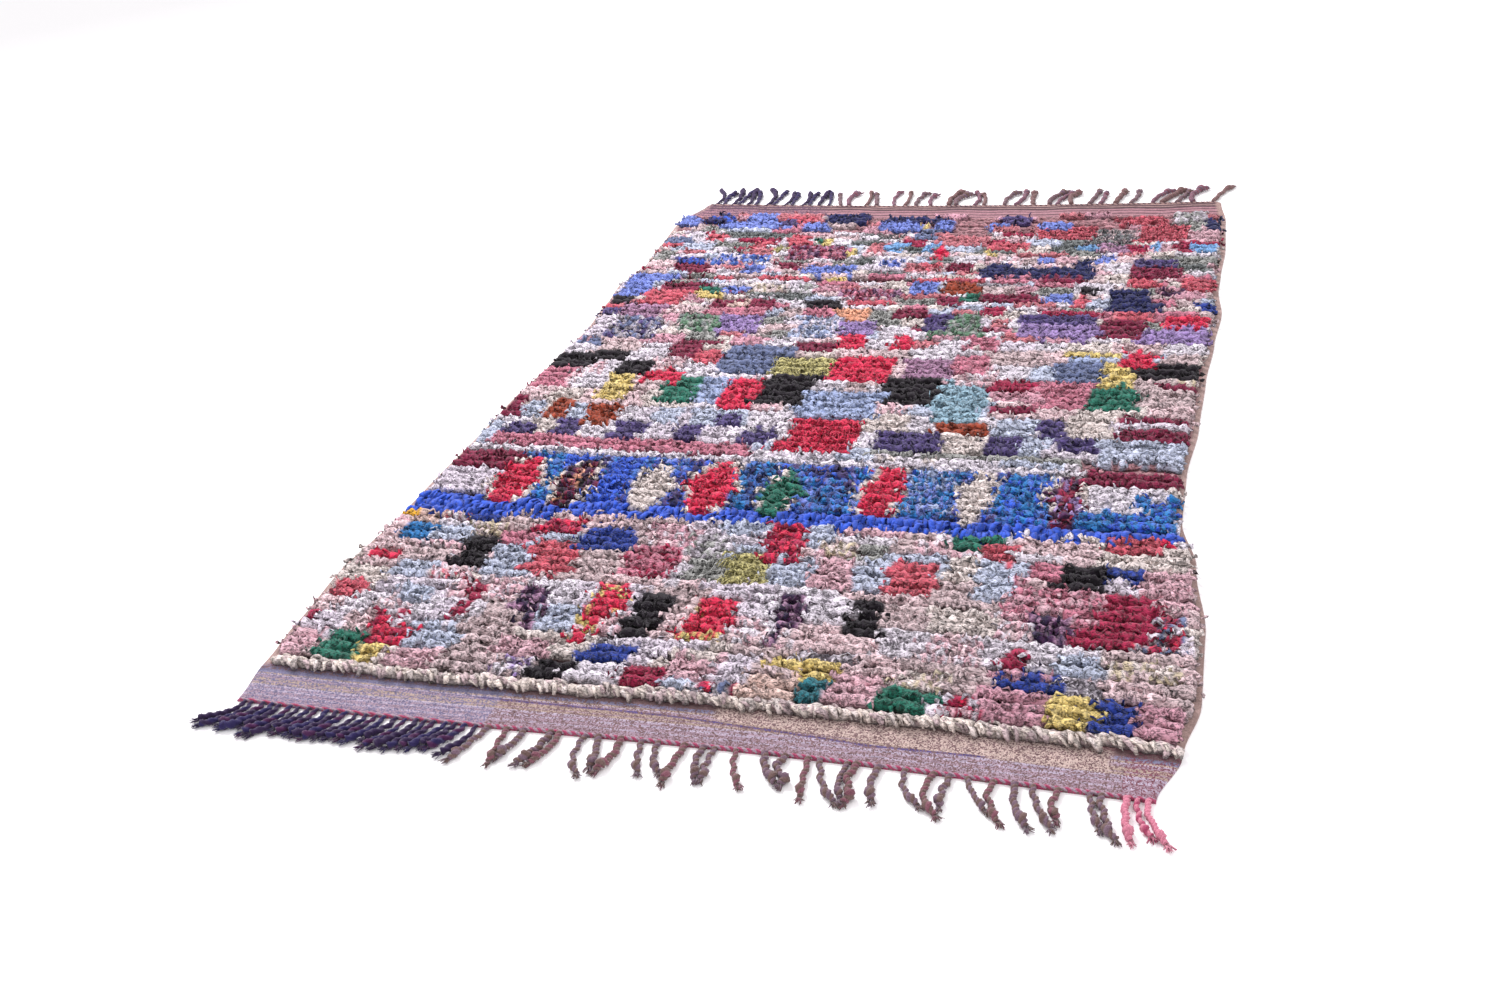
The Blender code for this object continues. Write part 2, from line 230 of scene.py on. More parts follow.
# The chart: left, right, front and back edge of each patch of one rag. A later patch lies over
# an earlier one
CHART = (
    ("denim_mix", ((-57, 50, -50, -34),)),
    ("sea_mix", ((-51, -44, -50, -34), (37, 45, -50, -34), (50, 67, -50, -40))),
    ("cobalt", ((-36, -30, -50, -34), (45, 50, -40, -34), (-46, -40, -38, -34))),
    ("night_mix", ((-21, -17, -50, -34), (2, 10, -38, -33), (-61.4, -52.9, 67, 71), (-63, -55, 98, 104.3))),
    ("bay_mix", ((-10, -4, -50, -34), (6, 12, -50, -42))),
    ("fair_mix", ((21, 29, -50, -34),)),
    ("chalk", ((-18, -10, -106, -99), (50, 60, -45, -37), (-70, 50, -34, -30.5), (-65, -60, -22, -14),
               (-12, -9, -78, -70), (42, 50, -66, -60), (-42, -37, 52, 57), (-12, -6, 30, 34))),
    ("lilac_white", ((-69, -57, -50, -40), (-69, -62, 22, 32), (-6, 2, -94, -90), (-48, -44, -94, -84),
                     (-13.3, -7.6, -61.5, -55.5), (56.5, 62, -70.5, -66.5), (3.8, 9, -100, -94.5))),
    ("maroon", ((-69, -55, -41, -34.5), (50, 67, -37, -30), (-69, -64.5, -20, -10), (55, 67, -13, -10),
                (55, 67, -19, -14), (-42, -33, 18, 22), (-15, -7, 16, 22), (-60, -50, 61, 67),
                (51, 62, 60, 66.5), (-33, -27, 65, 69), (9, 15, 65, 69), (20, 32, 46, 50),
                (47, 57, 26, 36), (-59, -49, 50, 55), (-43, -36, 12, 20),
                (30, 40, -11, -7), (60, 67, 2, 5), (-42, -27, 40, 45))),
    ("rose", ((-64, -11, -31, -27), (-46.2, -39.5, -67.5, -62), (44.8, 51.4, -68, -63.3),
              (-70, -60, -5, 3.5), (38, 48, -7, 4), (-42, -27, 35, 40),
              (24, 36, 74, 77), (20, 27, 20, 26), (-42.4, -35.2, 90, 94.8), (20, 27, 6, 17))),
    ("brick_pink", ((1.9, 15.2, 82.4, 90), (-44.8, -37, 74, 80), (-13, -9, 77.6, 83.3), (47, 53, 73.8, 77),
                    (-39, -30.5, 98.6, 105), (-61, -55, 73.8, 76.7), (24.8, 36, 73.8, 77.6))),
    ("marl", ((12, 50, -30, -26), (-10, -3, -75, -67), (17, 22, -65, -60), (-68, -63, 70, 76),
              (-34, -26, 69, 74), (-20, -16, 68, 74), (54, 70, 70, 75), (60, 66, 92, 98),
              (-62, -55, 90, 95), (-54, -44, 78, 83), (35.7, 43, 73.8, 78))),
    ("dark_marl", ((-53.8, -34.3, 86.2, 91.4), (-34.3, -19, 46.4, 50.5))),
    ("bare", ((50, 68, -31, -27), (-65, 5, 57.6, 59.8), (5, 15, 89.5, 103), (-18, -13.5, 99, 105))),
    ("red_shag", ((-8, 8, -30, -25), (-6, 7, -25, -15))),
    ("indigo", ((-64.5, -57, -27.5, -21.5), (-54, -48, -27, -20.5), (-41.5, -35, -27, -20),
                (-28, -22.5, -27, -20.5), (-16, -8.5, -27, -21), (11, 24, -26, -20), (32, 38, -26, -19),
                (44, 53, -25, -19), (41, 45.5, -19, -12), (-22, -17, -20, -14), (10, 15.5, 29, 38),
                (51, 61, 67, 71), (-69, -62, 32.5, 38), (30, 46, 33, 38))),
    ("rust", ((22, 31, -20, -15), (-58, -54, -20, -11), (-49, -42.5, -21, -13), (10, 19, 50, 58))),
    ("pale_blue", ((-3, 2, -106, -99), (-61, -52, -80, -74), (-45, -36, -78, -70), (-69, -65, -31, -21),
                   (-64, -60, -20, -12), (-35, -30, -20, -12), (52, 68, -28, -20), (32, 40, -18, -12),
                   (9, 14, 38, 41), (-55, -42, 91, 93.8), (-56, -50, -86, -82),
                   (-44.8, -38.1, -76, -67), (3.8, 11.4, -76, -66.5), (18.1, 24.8, -75, -66.5),
                   (37.6, 44.8, -76, -64), (-59.5, -52.4, -68, -62), (-7.6, 0, -61, -55.5),
                   (7.1, 11.4, -62, -56), (-39.5, -31, -66.5, -62),
                   (-48.1, -39, -99.3, -93.1), (52, 59.5, -92.5, -86.5))),
    ("pink", ((-68, -62, -106, -97), (21, 29, -104, -97), (62, 70.5, -73.8, -62), (11.4, 22.8, -59, -55.6),
              (11.4, 18.1, -75.7, -66), (57, 70, 84, 92), (-48.1, -39, -105.5, -99.3),
              (-32.4, -22.9, -99.3, -94), (-2.9, 3.8, -100.7, -95.5))),
    ("dusty_pink", ((64, 70, -105, -97), (42.9, 52, -104, -97), (30, 40, -6, -0.5), (43.5, 51.5, -93, -91))),
    ("taupe", ((-40, -31, -106, -98), (23.3, 31.9, -63, -55.6), (30.5, 38.1, -94.5, -92),
               (-32, -25, 61, 65))),
    ("lilac_mix", ((-30.5, -24.8, -104, -99.3),)),
    ("fog", ((-11.4, -3.8, -67, -61), (58, 66.7, 98.6, 104.8), (-30, -20, 50.5, 56))),
    ("straw_mix", ((30, 38, -98, -94.5), (-51.9, -46.2, -66, -61.5), (11.4, 17.1, -66, -60.5),
                   (59, 70, -92, -86), (-35, -27, 50, 55), (62, 70, 4, 6))),
    ("peach", ((9, 17, -106, -98), (-65.5, -60.5, -62, -58), (-38, -33, 40, 44))),
    ("grey_shag", ((17, 29, 55, 58),)),
    ("thicket", ((39, 50.5, 82.4, 92.9), (-11.9, -6.2, 85.7, 91))),
    ("string_mix", ((15, 24, -95, -92), (-17.1, -11.9, -94.5, -92), (53, 59, -97.5, -92.5))),
    ("confetti", ((2, 9, -107, -100.5), (61, 69, -85, -76))),
    ("speckle", ((-60, -55, -61, -57), (-30, -22, 78, 84), (-54, -42, -80.5, -77.6))),
    ("rose_mottle", ((42.9, 57.6, -80, -69),)),
    ("pink_mottle", ((-21, -11.4, -66.5, -58.5),)),
    ("berry_mix", ((-20.5, -11.4, -75.7, -66.3),)),
    ("berry_cream", ((21, 29, -106.5, -103), (37.6, 43.8, -105, -100.7))),
    ("rose_white", ((26, 36, -62, -57), (-60, -50, -71, -68))),
    ("green", ((-61, -54, -105, -97), (29, 37, -106.5, -98.5), (31, 40, -59.5, -54), (-38, -29, -10, 1.5),
               (48, 57.5, -7, 3), (-48, -43, 49, 53), (-28, -25.5, 82, 87), (15.2, 18.6, 45.5, 49.3))),
    ("moss_mix", ((-47, -37, 26, 35), (15, 22.5, 26, 39), (11, 22, 25, 29))),
    ("teal", ((17, 21, -106, -100),)),
    ("teal_blue", ((-65.7, -59.5, -67.6, -61.9),)),
    ("yellow", ((-54, -49, -105, -97), (52, 58.5, -105, -97.5), (9.5, 16, -96, -93.5), (16, 22, -100, -95),
                (-51, -45, -10, 1.5), (41, 52, 17, 20), (50, 55.5, 3, 14), (-48, -41, 45, 49),
                (-18, -14.5, 57, 60), (-26, -23, 82, 87), (15.7, 18, 73.8, 78.6), (-18, -16, 74, 79),
                (-4, -1, 92.5, 98))),
    ("gold", ((-70, -65.5, -61.5, -57.5),)),
    ("lime", ((-3, 4, -75, -65), (-18, -5, 5, 15), (-37, -33.3, 77.6, 82.4))),
    ("black", ((-25, -18, -106, -99), (-14, -8.5, -91, -79), (20, 25, -87, -78), (23, 24, -90, -87),
               (-51.5, -45.5, -76, -66), (50, 56.5, -70, -63.5), (-59.5, -51, 10, 15),
               (-68, -58.5, 3.5, 11), (-52, -44, 1.5, 10), (-17, -6, -10, 5), (8, 19.5, -8.5, 4),
               (55.5, 69, 6, 15), (-68.5, -63, 41.5, 46), (-20, -11.5, 40, 46), (40, 45, 50, 54))),
    ("cherry_mix", ((-41, -32.7, -62, -57), (0.5, 7.1, -61.4, -54.8), (1, 8.1, -66.7, -61.4),
                    (-56.7, -51.5, -94.5, -90.7), (-54.5, -48, -98.8, -94.5), (38.1, 41.4, -100.7, -98))),
    ("crimson", ((-10, -3, -106.5, -100), (-43.5, -41.5, -91, -79), (57, 64.5, -83, -71),
                 (-69, -66, -94, -92), (52, 61, -85, -79), (28.5, 38, 0, 4.5), (44.3, 47.5, -91, -87),
                 (21, 26, 38, 42), (33, 46, 38, 41))),
    ("red", ((-68, -61, -75, -73), (-44, -35.5, -1.5, 5.5),
             (-24, -17, -13, 3), (-5, 8, 2, 14.5), (53, 59.5, 11, 20), (-7, -1, 18, 27), (5, 9.5, 18, 27),
             (60, 69, 32, 39), (3, 7, 73, 80), (63, 67, -55, -51.5))),
    ("coral", ((-38.1, -29, -76, -66), (23.8, 31.4, -74.8, -65.2), (37, 42.5, -64, -58), (-69, -62, -88, -82),
               (56, 64, -57.6, -53), (-36, -30.5, 9, 17), (-61, -50, 41, 50), (-69, -64, 38.5, 41.5),
               (-11, 0, 42, 45), (50, 57, 36, 40), (39, 43, 44, 49), (-47, -42, 57.5, 60.5),
               (-68.6, -63, 78, 82), (-36, -23.5, 57, 60), (3, 19, 57.5, 60.5), (50, 57, 54, 60),
               (62, 69.5, 53, 59),
               (2, 7, 66, 69), (19, 27, 78, 80), (-36, -29, 82, 89), (-44, -39, 78, 84),
               (-40, -31, 98, 104),
               (17, 26, 78, 84), (-58, -52, 84, 88))),
    ("coral_shag", ((45, 57, 97, 104), (26, 40, 86, 95), (51, 62, 84, 95))),
    ("apricot", ((-11.5, -3, 34, 41),)),
    ("royal", ((58.5, 64, -105, -97.5), (-18.5, -10, -99.5, -94), (43.5, 53, -97.5, -93),
               (-55, -49, -61.5, -57), (-31.5, -21.5, -67, -61), (56.5, 62, -66.5, -63), (66, 71, 41, 45))),
    ("periwinkle", ((-69, -61, 46, 54), (-51, -43, 95, 105), (-57, -38, 94, 99), (-70, -64, 95, 102),
                    (-69, -57, 54, 60), (29, 33, 69, 75), (43, 46, 70, 75), (-26, -13, 61, 67),
                    (-13.8, -3, 94.3, 99.5), (0, 5, 93, 100), (26.7, 34.3, 94.3, 99), (-42, -37, 62, 66),
                    (-34.8, -27.6, 94.3, 97.6), (13.8, 19, 94.8, 99), (2.4, 9, 49.3, 57.4),
                    (-43, -36, 49, 53),
                    (33, 39, 46, 51))),
    ("iris_mix", ((-51.4, -36.2, 68.3, 73.8), (-9, -1.9, 66.4, 72.6))),
    ("navy", ((47, 59, 40, 46), (47, 56, 44, 52), (16, 43, 61, 66), (38, 42, 66, 72), (17, 23, 66, 70),
              (-30, -17.5, 98, 104.5), (-13.3, 1.9, 99.5, 103), (66, 72, 92, 99.5))),
    ("indigo", ((17, 25, 99, 102.5), (-41, -36.2, 94.8, 100.5))),
    ("plum", ((58, 62, 49.3, 53.6),)),
    ("slate", ((-67, -61, 17, 20), (-30, -15, 13, 18), (-30, -18, 5, 13), (40, 50, 5, 14),
               (-3.8, 1.9, 85.2, 92.4), (-69, -61, 82, 86))),
    ("dusk_mix", ((-62, -51, 22, 33),)),
    ("mist_mix", ((-19, -9, 24, 36),)),
    ("sky", ((-30, -24, -10, 3), (-7, 9, -14.5, -3), (42, 50, 14, 17))),
    ("sky_blue", ((-9, -4, 76.7, 83.3), (1, 3.5, 76.7, 83.3), (36.7, 43, 78, 82), (54, 57, 77.6, 82.4),
                  (63, 69.5, 77, 82))),
    ("aqua", ((19.5, 29, -14, 3),)),
    ("violet", ((-37, -27.5, 25, 35), (-9, -1, 26, 34), (30, 47, 25, 33), (55, 69, 23, 32))),
    ("mauve", ((10, 20, 5, 14), (-63, -52, 33, 41), (43, 49.5, 77.6, 82.4))),
    ("wine_mix", ((-33.3, -17.6, 72, 82), (-14, 1, 46.5, 53))),
    ("grape_mix", ((-35, -29.5, -86, -79), (-31, -29, -91, -86), (8.5, 13, -88, -78), (10, 11, -91, -88),
                   (47, 53, -84, -78))),
    ("ember_mix", ((-22.5, -16.5, -88, -77.5), (-20.8, -18, -95, -88), (-4.8, 2.4, -91, -80.5))),
    ("red", ((-21.5, -17, -87, -80), (-4, 2, -89, -80.5))),
)

# Lozenges in the blue band, each inside a pale jagged outline
Lozenge = namedtuple("Lozenge", "rag left right front back")
LOZENGES = [Lozenge(*row) for row in (
    ("red", -56.5, -48, -54, -37), ("orchard", -44, -36.5, -54, -37), ("cream", -29.5, -21.5, -53, -36),
    ("red", -18.5, -9.5, -53, -35), ("green", -4.0, 2.4, -52.5, -37.5), ("red", 13, 21, -52, -34),
    ("cream", 29, 37, -52.5, -34.5), ("magenta_mix", 45, 51.5, -50, -34),
)]
# How far the pale outline reaches, for a reach of 1 at the lozenge's own edge
LOZENGE_OUTLINE = 1.22
# How much the distance across and along the rug count towards a lozenge's slanting sides
LOZENGE_ACROSS = 0.96
LOZENGE_ALONG = 0.62

# Seen from in front, the tips of the rags show this far behind their knots, and the chart was read
# from the tips
CHART_SHIFT = 0.8

# The front edge of the long silky blue band falls from left to right, and its back edge is level
SILK_FRONT_LEFT = -57.5
SILK_FRONT_RIGHT = -54.0
SILK_BACK = -50.0

# Pale fillings between the patches: where a zone ends, and the rags in it
FIELDS = (
    (-97, ("blush", "cream", "lilac_white", "cream", "taupe")),
    (-58, ("blush", "lilac_white", "cream", "pale_blue", "rose_white", "taupe", "blush", "chalk")),
    (-33, ("chalk", "cream")),
    (-12, ("chalk", "cream", "pale_blue", "lilac_white")),
    (20, ("cream", "chalk", "blush", "rose_white", "pale_blue", "taupe")),
    (60, ("cream", "chalk", "blush", "rose", "taupe", "pale_blue", "maroon", "chalk", "lilac_white",
          "brick_pink", "cream", "chalk", "marl", "dusty_pink")),
    (91, ("chalk", "cream", "brick_pink", "blush", "chalk", "crimson", "pink", "pale_blue", "cream", "taupe",
          "dark_marl", "chalk", "lilac_white", "rose_white")),
    (116, ("bare", "dusty_pink", "bare", "taupe", "bare", "brick_pink", "bare")),
)
# How many rows deep the fillings are, and their least and greatest width, up to this line and past it
FILLING_CHANGE = 20.0
FRONT_FILLINGS = ((3, 3, 4), 6.0, 16.0)
BACK_FILLINGS = ((1, 2, 2), 4.0, 11.0)


def linear(code):
    """An sRGB hex value as linear red, green and blue."""
    parts = [int(code[i:i + 2], 16) / 255.0 for i in (0, 2, 4)]
    return tuple(c / 12.92 if c <= 0.04045 else ((c + 0.055) / 1.055) ** 2.4 for c in parts)


def seek(sockets, key):
    """A socket by its number, or by its name among those in use."""
    if isinstance(key, int):
        return sockets[key]
    named = [socket for socket in sockets if socket.name == key]
    return next((socket for socket in named if socket.enabled), named[0])


def add(tree, kind, inputs=None, **settings):
    """Add a node with its settings, and set or link its inputs."""
    node = tree.nodes.new(kind)
    for key, value in settings.items():
        setattr(node, key, value)
    for key, value in (inputs or {}).items():
        socket = seek(node.inputs, key)
        if isinstance(value, bpy.types.NodeSocket):
            tree.links.new(value, socket)
        else:
            socket.default_value = value
    return node


def result(node):
    """The output of a node that has one for each data type, of which one is in use."""
    return next(socket for socket in node.outputs if socket.enabled)


def attribute(tree, name):
    """The outputs of a node that reads one of the piece's attributes in a material."""
    return add(tree, "ShaderNodeAttribute", attribute_name=name).outputs


def named(tree, name, kind="FLOAT"):
    """The output of a node that reads an attribute of the points in a geometry tree."""
    return result(add(tree, "GeometryNodeInputNamedAttribute", {"Name": name}, data_type=kind))


def maths(tree, first, second, operation="MULTIPLY"):
    """Two numbers multiplied, or put together in another way."""
    return add(tree, "ShaderNodeMath", {0: first, 1: second}, operation=operation).outputs[0]


def vector_maths(tree, operation, first, second):
    """Two vectors put together, or a vector and the number that scales it."""
    key = "Scale" if operation == "SCALE" else 1
    return add(tree, "ShaderNodeVectorMath", {0: first, key: second}, operation=operation).outputs[0]


def mapped(tree, value, start, stop, low, high):
    """A number brought from one range into another."""
    return add(tree, "ShaderNodeMapRange", {
        "Value": value, "From Min": start, "From Max": stop, "To Min": low, "To Max": high}).outputs["Result"]


def mixed(tree, share, first, second, kind="RGBA"):
    """Two colours or numbers mixed."""
    return result(add(tree, "ShaderNodeMix", {"Factor": share, "A": first, "B": second}, data_type=kind))


def surface(tree, shader, colour, height, strength, depth, invert=False):
    """Give a shader its colour, and a relief of a depth in metres."""
    tree.links.new(colour, shader.inputs["Base Color"])
    relief = {"Height": height, "Strength": strength, "Distance": depth}
    bump = add(tree, "ShaderNodeBump", relief, invert=invert)
    tree.links.new(bump.outputs[0], shader.inputs["Normal"])


def stand(name, data):
    """A new object in the scene."""
    body = bpy.data.objects.new(name, data)
    bpy.context.scene.collection.objects.link(body)
    return body


def discard(body):
    """Remove an object and its mesh."""
    mesh = body.data
    bpy.data.objects.remove(body)
    bpy.data.meshes.remove(mesh)


def store(mesh, label, values):
    """Give each point of a mesh a number, or three of them."""
    data = np.array(values)
    if data.ndim == 2:
        kind, field, form = "FLOAT_VECTOR", "vector", np.float32
    elif data.dtype.kind == "i":
        kind, field, form = "INT", "value", np.int32
    else:
        kind, field, form = "FLOAT", "value", np.float32
    mesh.attributes.new(label, kind, "POINT").data.foreach_set(field, data.astype(form).ravel())


def blend(table, key, column):
    """Read a column of a table smoothly at a key between its rows."""
    for before, after in zip(table, table[1:]):
        if key <= after[0]:
            share = (key - before[0]) / (after[0] - before[0])
            share = max(0.0, share)
            share = share * share * (3.0 - 2.0 * share)
            return before[column] + (after[column] - before[column]) * share
    return table[-1][column]


def front_edge(x):
    """How far back the front end of the cloth is."""
    return -RUG_LENGTH / 2 + FRONT_EDGE_WAVE * math.sin(4.6 * x + 0.8)


def back_edge(x):
    """How far back the back end of the cloth is, bowed inwards at its middle."""
    across = x / (RUG_WIDTH / 2)
    return RUG_LENGTH / 2 - BACK_EDGE_RISE * (1.0 - across * across)


def left_side(along):
    """Where the left selvedge is, at a distance from the front end."""
    return -RUG_WIDTH / 2 - blend(SIDES, along, 1)


def right_side(along):
    """Where the right selvedge is, at a distance from the front end."""
    return RUG_WIDTH / 2 + blend(SIDES, along, 2)


def place(x, along):
    """How far back a point of the cloth is: x across, and the distance along it."""
    low = front_edge(x)
    return low + (back_edge(x) - low) * along / RUG_LENGTH


def centring():
    """How far the whole rug was moved when its box was centred on the floor."""
    left, right = left_side(0.0), right_side(0.0)
    lowest = min(front_edge(left + (right - left) * i / 200) for i in range(201))
    shift_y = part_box("rug_body")[0].y - lowest - STRIP_DEPTH - PIECE_GAP
    shift_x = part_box("fringe_front_aubergine")[1].x - (WARP_FIRST_CHANGE - PIECE_GAP / 2)
    return Vector((shift_x, shift_y, 0.0))


CENTRING = centring()


class RugSizes(bpy.types.PropertyGroup):
    """Sizes of the rags, the weave and the cords."""

    knot_pitch: FloatProperty(
        name="Knot pitch", description="Distance between the knots of a row",
        default=0.0127, min=0.008, unit="LENGTH")
    rag_length: FloatProperty(
        name="Rag length", description="Length of a rag end past its knot",
        default=0.031, min=0.01, unit="LENGTH")
    rag_width: FloatProperty(
        name="Rag width", description="Width of a cotton rag end",
        default=0.0100, min=0.002, unit="LENGTH")
    crumple: FloatProperty(
        name="Crumple", description="How far the rag ends are crumpled out of shape",
        default=0.0095, min=0.0, unit="LENGTH")
    weft_pitch: FloatProperty(
        name="Weft pitch", description="Distance between the wefts of the flat-woven ends",
        default=0.0027, min=0.001, unit="LENGTH")
    ply_turn: FloatProperty(
        name="Ply turn", description="Length of one turn of a plied cord",
        default=0.013, min=0.004, unit="LENGTH")
    pile_seed: IntProperty(name="Pile seed", description="Seed of the order of the rags", default=7)


class RagColours(bpy.types.PropertyGroup):
    """The colour of each rag and yarn."""

    __annotations__ = {
        name: FloatVectorProperty(
            name=name.replace("_", " ").capitalize(), description="Colour of this rag or yarn",
            subtype="COLOR", size=3, min=0.0, max=1.0, default=linear(code))
        for name, code in PALETTE.items()
    }


def plain_mesh(holder, name, material, keep):
    """What an object's nodes make, as a plain mesh with one material and the attributes to keep."""
    graph = bpy.context.evaluated_depsgraph_get()
    mesh = bpy.data.meshes.new_from_object(holder.evaluated_get(graph), depsgraph=graph)
    mesh.name = name
    for spare in [a.name for a in mesh.attributes if not a.is_internal and not a.is_required]:
        if spare not in keep:
            mesh.attributes.remove(mesh.attributes[spare])
    mesh.materials.clear()
    mesh.materials.append(material)
    discard(holder)
    return stand(name, mesh)


def run_nodes(holder, tree, values):
    """Give an object a node tree, with the inputs named in values."""
    modifier = holder.modifiers.new(tree.name, "NODES")
    modifier.node_group = tree
    for item in tree.interface.items_tree:
        if item.item_type == "SOCKET" and item.in_out == "INPUT" and item.name in values:
            modifier[item.identifier] = values[item.name]
    bpy.context.view_layer.update()


def node_tree(name, *inputs):
    """A new tree that takes and gives geometry, with named inputs as (name, kind)."""
    tree = bpy.data.node_groups.new(name, "GeometryNodeTree")
    tree.interface.new_socket("Geometry", in_out="OUTPUT", socket_type="NodeSocketGeometry")
    tree.interface.new_socket("Geometry", in_out="INPUT", socket_type="NodeSocketGeometry")
    for label, kind in inputs:
        tree.interface.new_socket(label, in_out="INPUT", socket_type="NodeSocket" + kind)
    return tree, add(tree, "NodeGroupInput").outputs


# No point of a crumpled rag lies below the last of these, and the first two lie off the rug
LOWEST = (-9.0, -9.0, 0.0003)


def tuft_tree():
    """Puts a tuft at each point, as its attributes say, joins the matted rows and crumples them all."""
    tree, given = node_tree(
        "knotted_tufts", ("Shapes", "Collection"), ("Rows", "Object"), ("Crumple Size", "Float"),
        ("Crumple Depth", "Float"), ("Material", "Material"))
    rows = add(tree, "GeometryNodeObjectInfo", {"Object": given["Rows"]})
    shapes = add(tree, "GeometryNodeCollectionInfo", {
        "Collection": given["Shapes"], "Separate Children": True, "Reset Children": True})
    tufts = add(tree, "GeometryNodeInstanceOnPoints", {
        "Points": given["Geometry"], "Instance": shapes.outputs[0], "Pick Instance": True,
        "Instance Index": named(tree, "shape", "INT"), "Rotation": named(tree, "turn", "FLOAT_VECTOR"),
        "Scale": named(tree, "size", "FLOAT_VECTOR")})
    real = add(tree, "GeometryNodeRealizeInstances", {"Geometry": tufts.outputs[0]})
    depth = maths(tree, named(tree, "crumple"), given["Crumple Depth"])
    rate = maths(tree, 1.0, given["Crumple Size"], "DIVIDE")
    noise = add(tree, "ShaderNodeTexNoise", {"Scale": rate, "Detail": 1.0, "Roughness": 0.6})
    centred = vector_maths(tree, "SUBTRACT", noise.outputs["Color"], (0.5, 0.5, 0.5))
    both = add(tree, "GeometryNodeJoinGeometry")
    tree.links.new(rows.outputs["Geometry"], both.inputs[0])
    tree.links.new(real.outputs[0], both.inputs[0])
    moved = add(tree, "GeometryNodeSetPosition", {
        "Geometry": both.outputs[0], "Offset": vector_maths(tree, "SCALE", centred, depth)})
    here = add(tree, "GeometryNodeInputPosition").outputs[0]
    laid = add(tree, "GeometryNodeSetPosition", {
        "Geometry": moved.outputs[0], "Position": vector_maths(tree, "MAXIMUM", here, LOWEST)})
    finish = add(tree, "GeometryNodeSetMaterial", {
        "Geometry": laid.outputs[0], "Material": given["Material"]})
    add(tree, "NodeGroupOutput", {"Geometry": finish.outputs[0]})
    return tree


def cord_tree():
    """Plies a two-strand cord along each line, as thick as its points say."""
    tree, given = node_tree(
        "plied_cords", ("Step", "Float"), ("Ply Turn", "Float"), ("Profile", "Object"),
        ("Material", "Material"))
    lines = add(tree, "GeometryNodeMeshToCurve", {"Mesh": given["Geometry"]})
    even = add(tree, "GeometryNodeResampleCurve", {"Curve": lines.outputs[0], "Length": given["Step"]},
               mode="LENGTH")
    half = named(tree, "half")
    sized = add(tree, "GeometryNodeSetCurveRadius", {"Curve": even.outputs[0], "Radius": half})
    along = add(tree, "GeometryNodeSplineParameter")
    angle = maths(tree, maths(tree, along.outputs["Length"], given["Ply Turn"], "DIVIDE"), math.tau)
    plied = add(tree, "GeometryNodeSetCurveTilt", {"Curve": sized.outputs[0], "Tilt": angle})
    profile = add(tree, "GeometryNodeObjectInfo", {"Object": given["Profile"]})
    ring = add(tree, "GeometryNodeMeshToCurve", {"Mesh": profile.outputs["Geometry"]})
    swept = add(tree, "GeometryNodeCurveToMesh", {
        "Curve": plied.outputs[0], "Profile Curve": ring.outputs[0], "Scale": half, "Fill Caps": True})
    smooth = add(tree, "GeometryNodeSetShadeSmooth", {"Geometry": swept.outputs[0]})
    real = add(tree, "GeometryNodeRealizeInstances", {"Geometry": smooth.outputs[0]})
    finish = add(tree, "GeometryNodeSetMaterial", {
        "Geometry": real.outputs[0], "Material": given["Material"]})
    add(tree, "NodeGroupOutput", {"Geometry": finish.outputs[0]})
    return tree
# Spines of the tufts: how far forward and how high each ring is, as shares of the rag's length,
# and its width and thickness as shares of the rag's width
Ring = namedtuple("Ring", "forward high wide thick")
FOLDED_SPINE = [Ring(*row) for row in (
    (0.04, 0.44, 0.80, 0.42), (0.24, 0.68, 1.15, 0.28), (0.50, 0.50, 0.66, 0.16),
)]
CURLED_SPINE = [Ring(*row) for row in (
    (0.12, 0.38, 0.80, 0.42), (0.44, 0.52, 1.10, 0.28), (0.40, 0.76, 0.60, 0.16),
)]
SILK_SPINE = [Ring(*row) for row in (
    (0.00, 0.20, 0.80, 0.40), (0.16, 0.60, 1.30, 0.34), (0.56, 0.66, 1.40, 0.28), (0.96, 0.36, 0.90, 0.20),
)]
ROPE_SPINE = [Ring(*row) for row in (
    (-0.14, 0.30, 0.55, 0.46), (0.12, 0.52, 1.10, 0.54), (0.39, 0.50, 1.10, 0.50), (0.62, 0.30, 0.62, 0.36),
)]
SHAG_SPINE = [Ring(*row) for row in (
    (0.00, 0.02, 0.36, 0.30), (0.18, 0.50, 0.34, 0.30), (0.52, 0.66, 0.30, 0.26), (0.86, 0.46, 0.20, 0.16),
)]
HAIR_SPINE = [Ring(*row) for row in (
    (0.00, 0.03, 0.16, 0.16), (0.30, 0.05, 0.14, 0.14), (0.60, 0.03, 0.08, 0.08),
)]
SHAPE_SEED = 41
SHAPES = (
    # kind, how many, spine, sides, how far its rings stray as a share of the rag's width
    ("rag", 10, FOLDED_SPINE, 3, 0.36),
    ("rag", 10, CURLED_SPINE, 3, 0.36),
    ("silk", 6, SILK_SPINE, 3, 0.24),
    ("rope", 6, ROPE_SPINE, 3, 0.20),
    ("shag", 6, SHAG_SPINE, 3, 0.22),
    ("hair", 4, HAIR_SPINE, 3, 0.30),
)


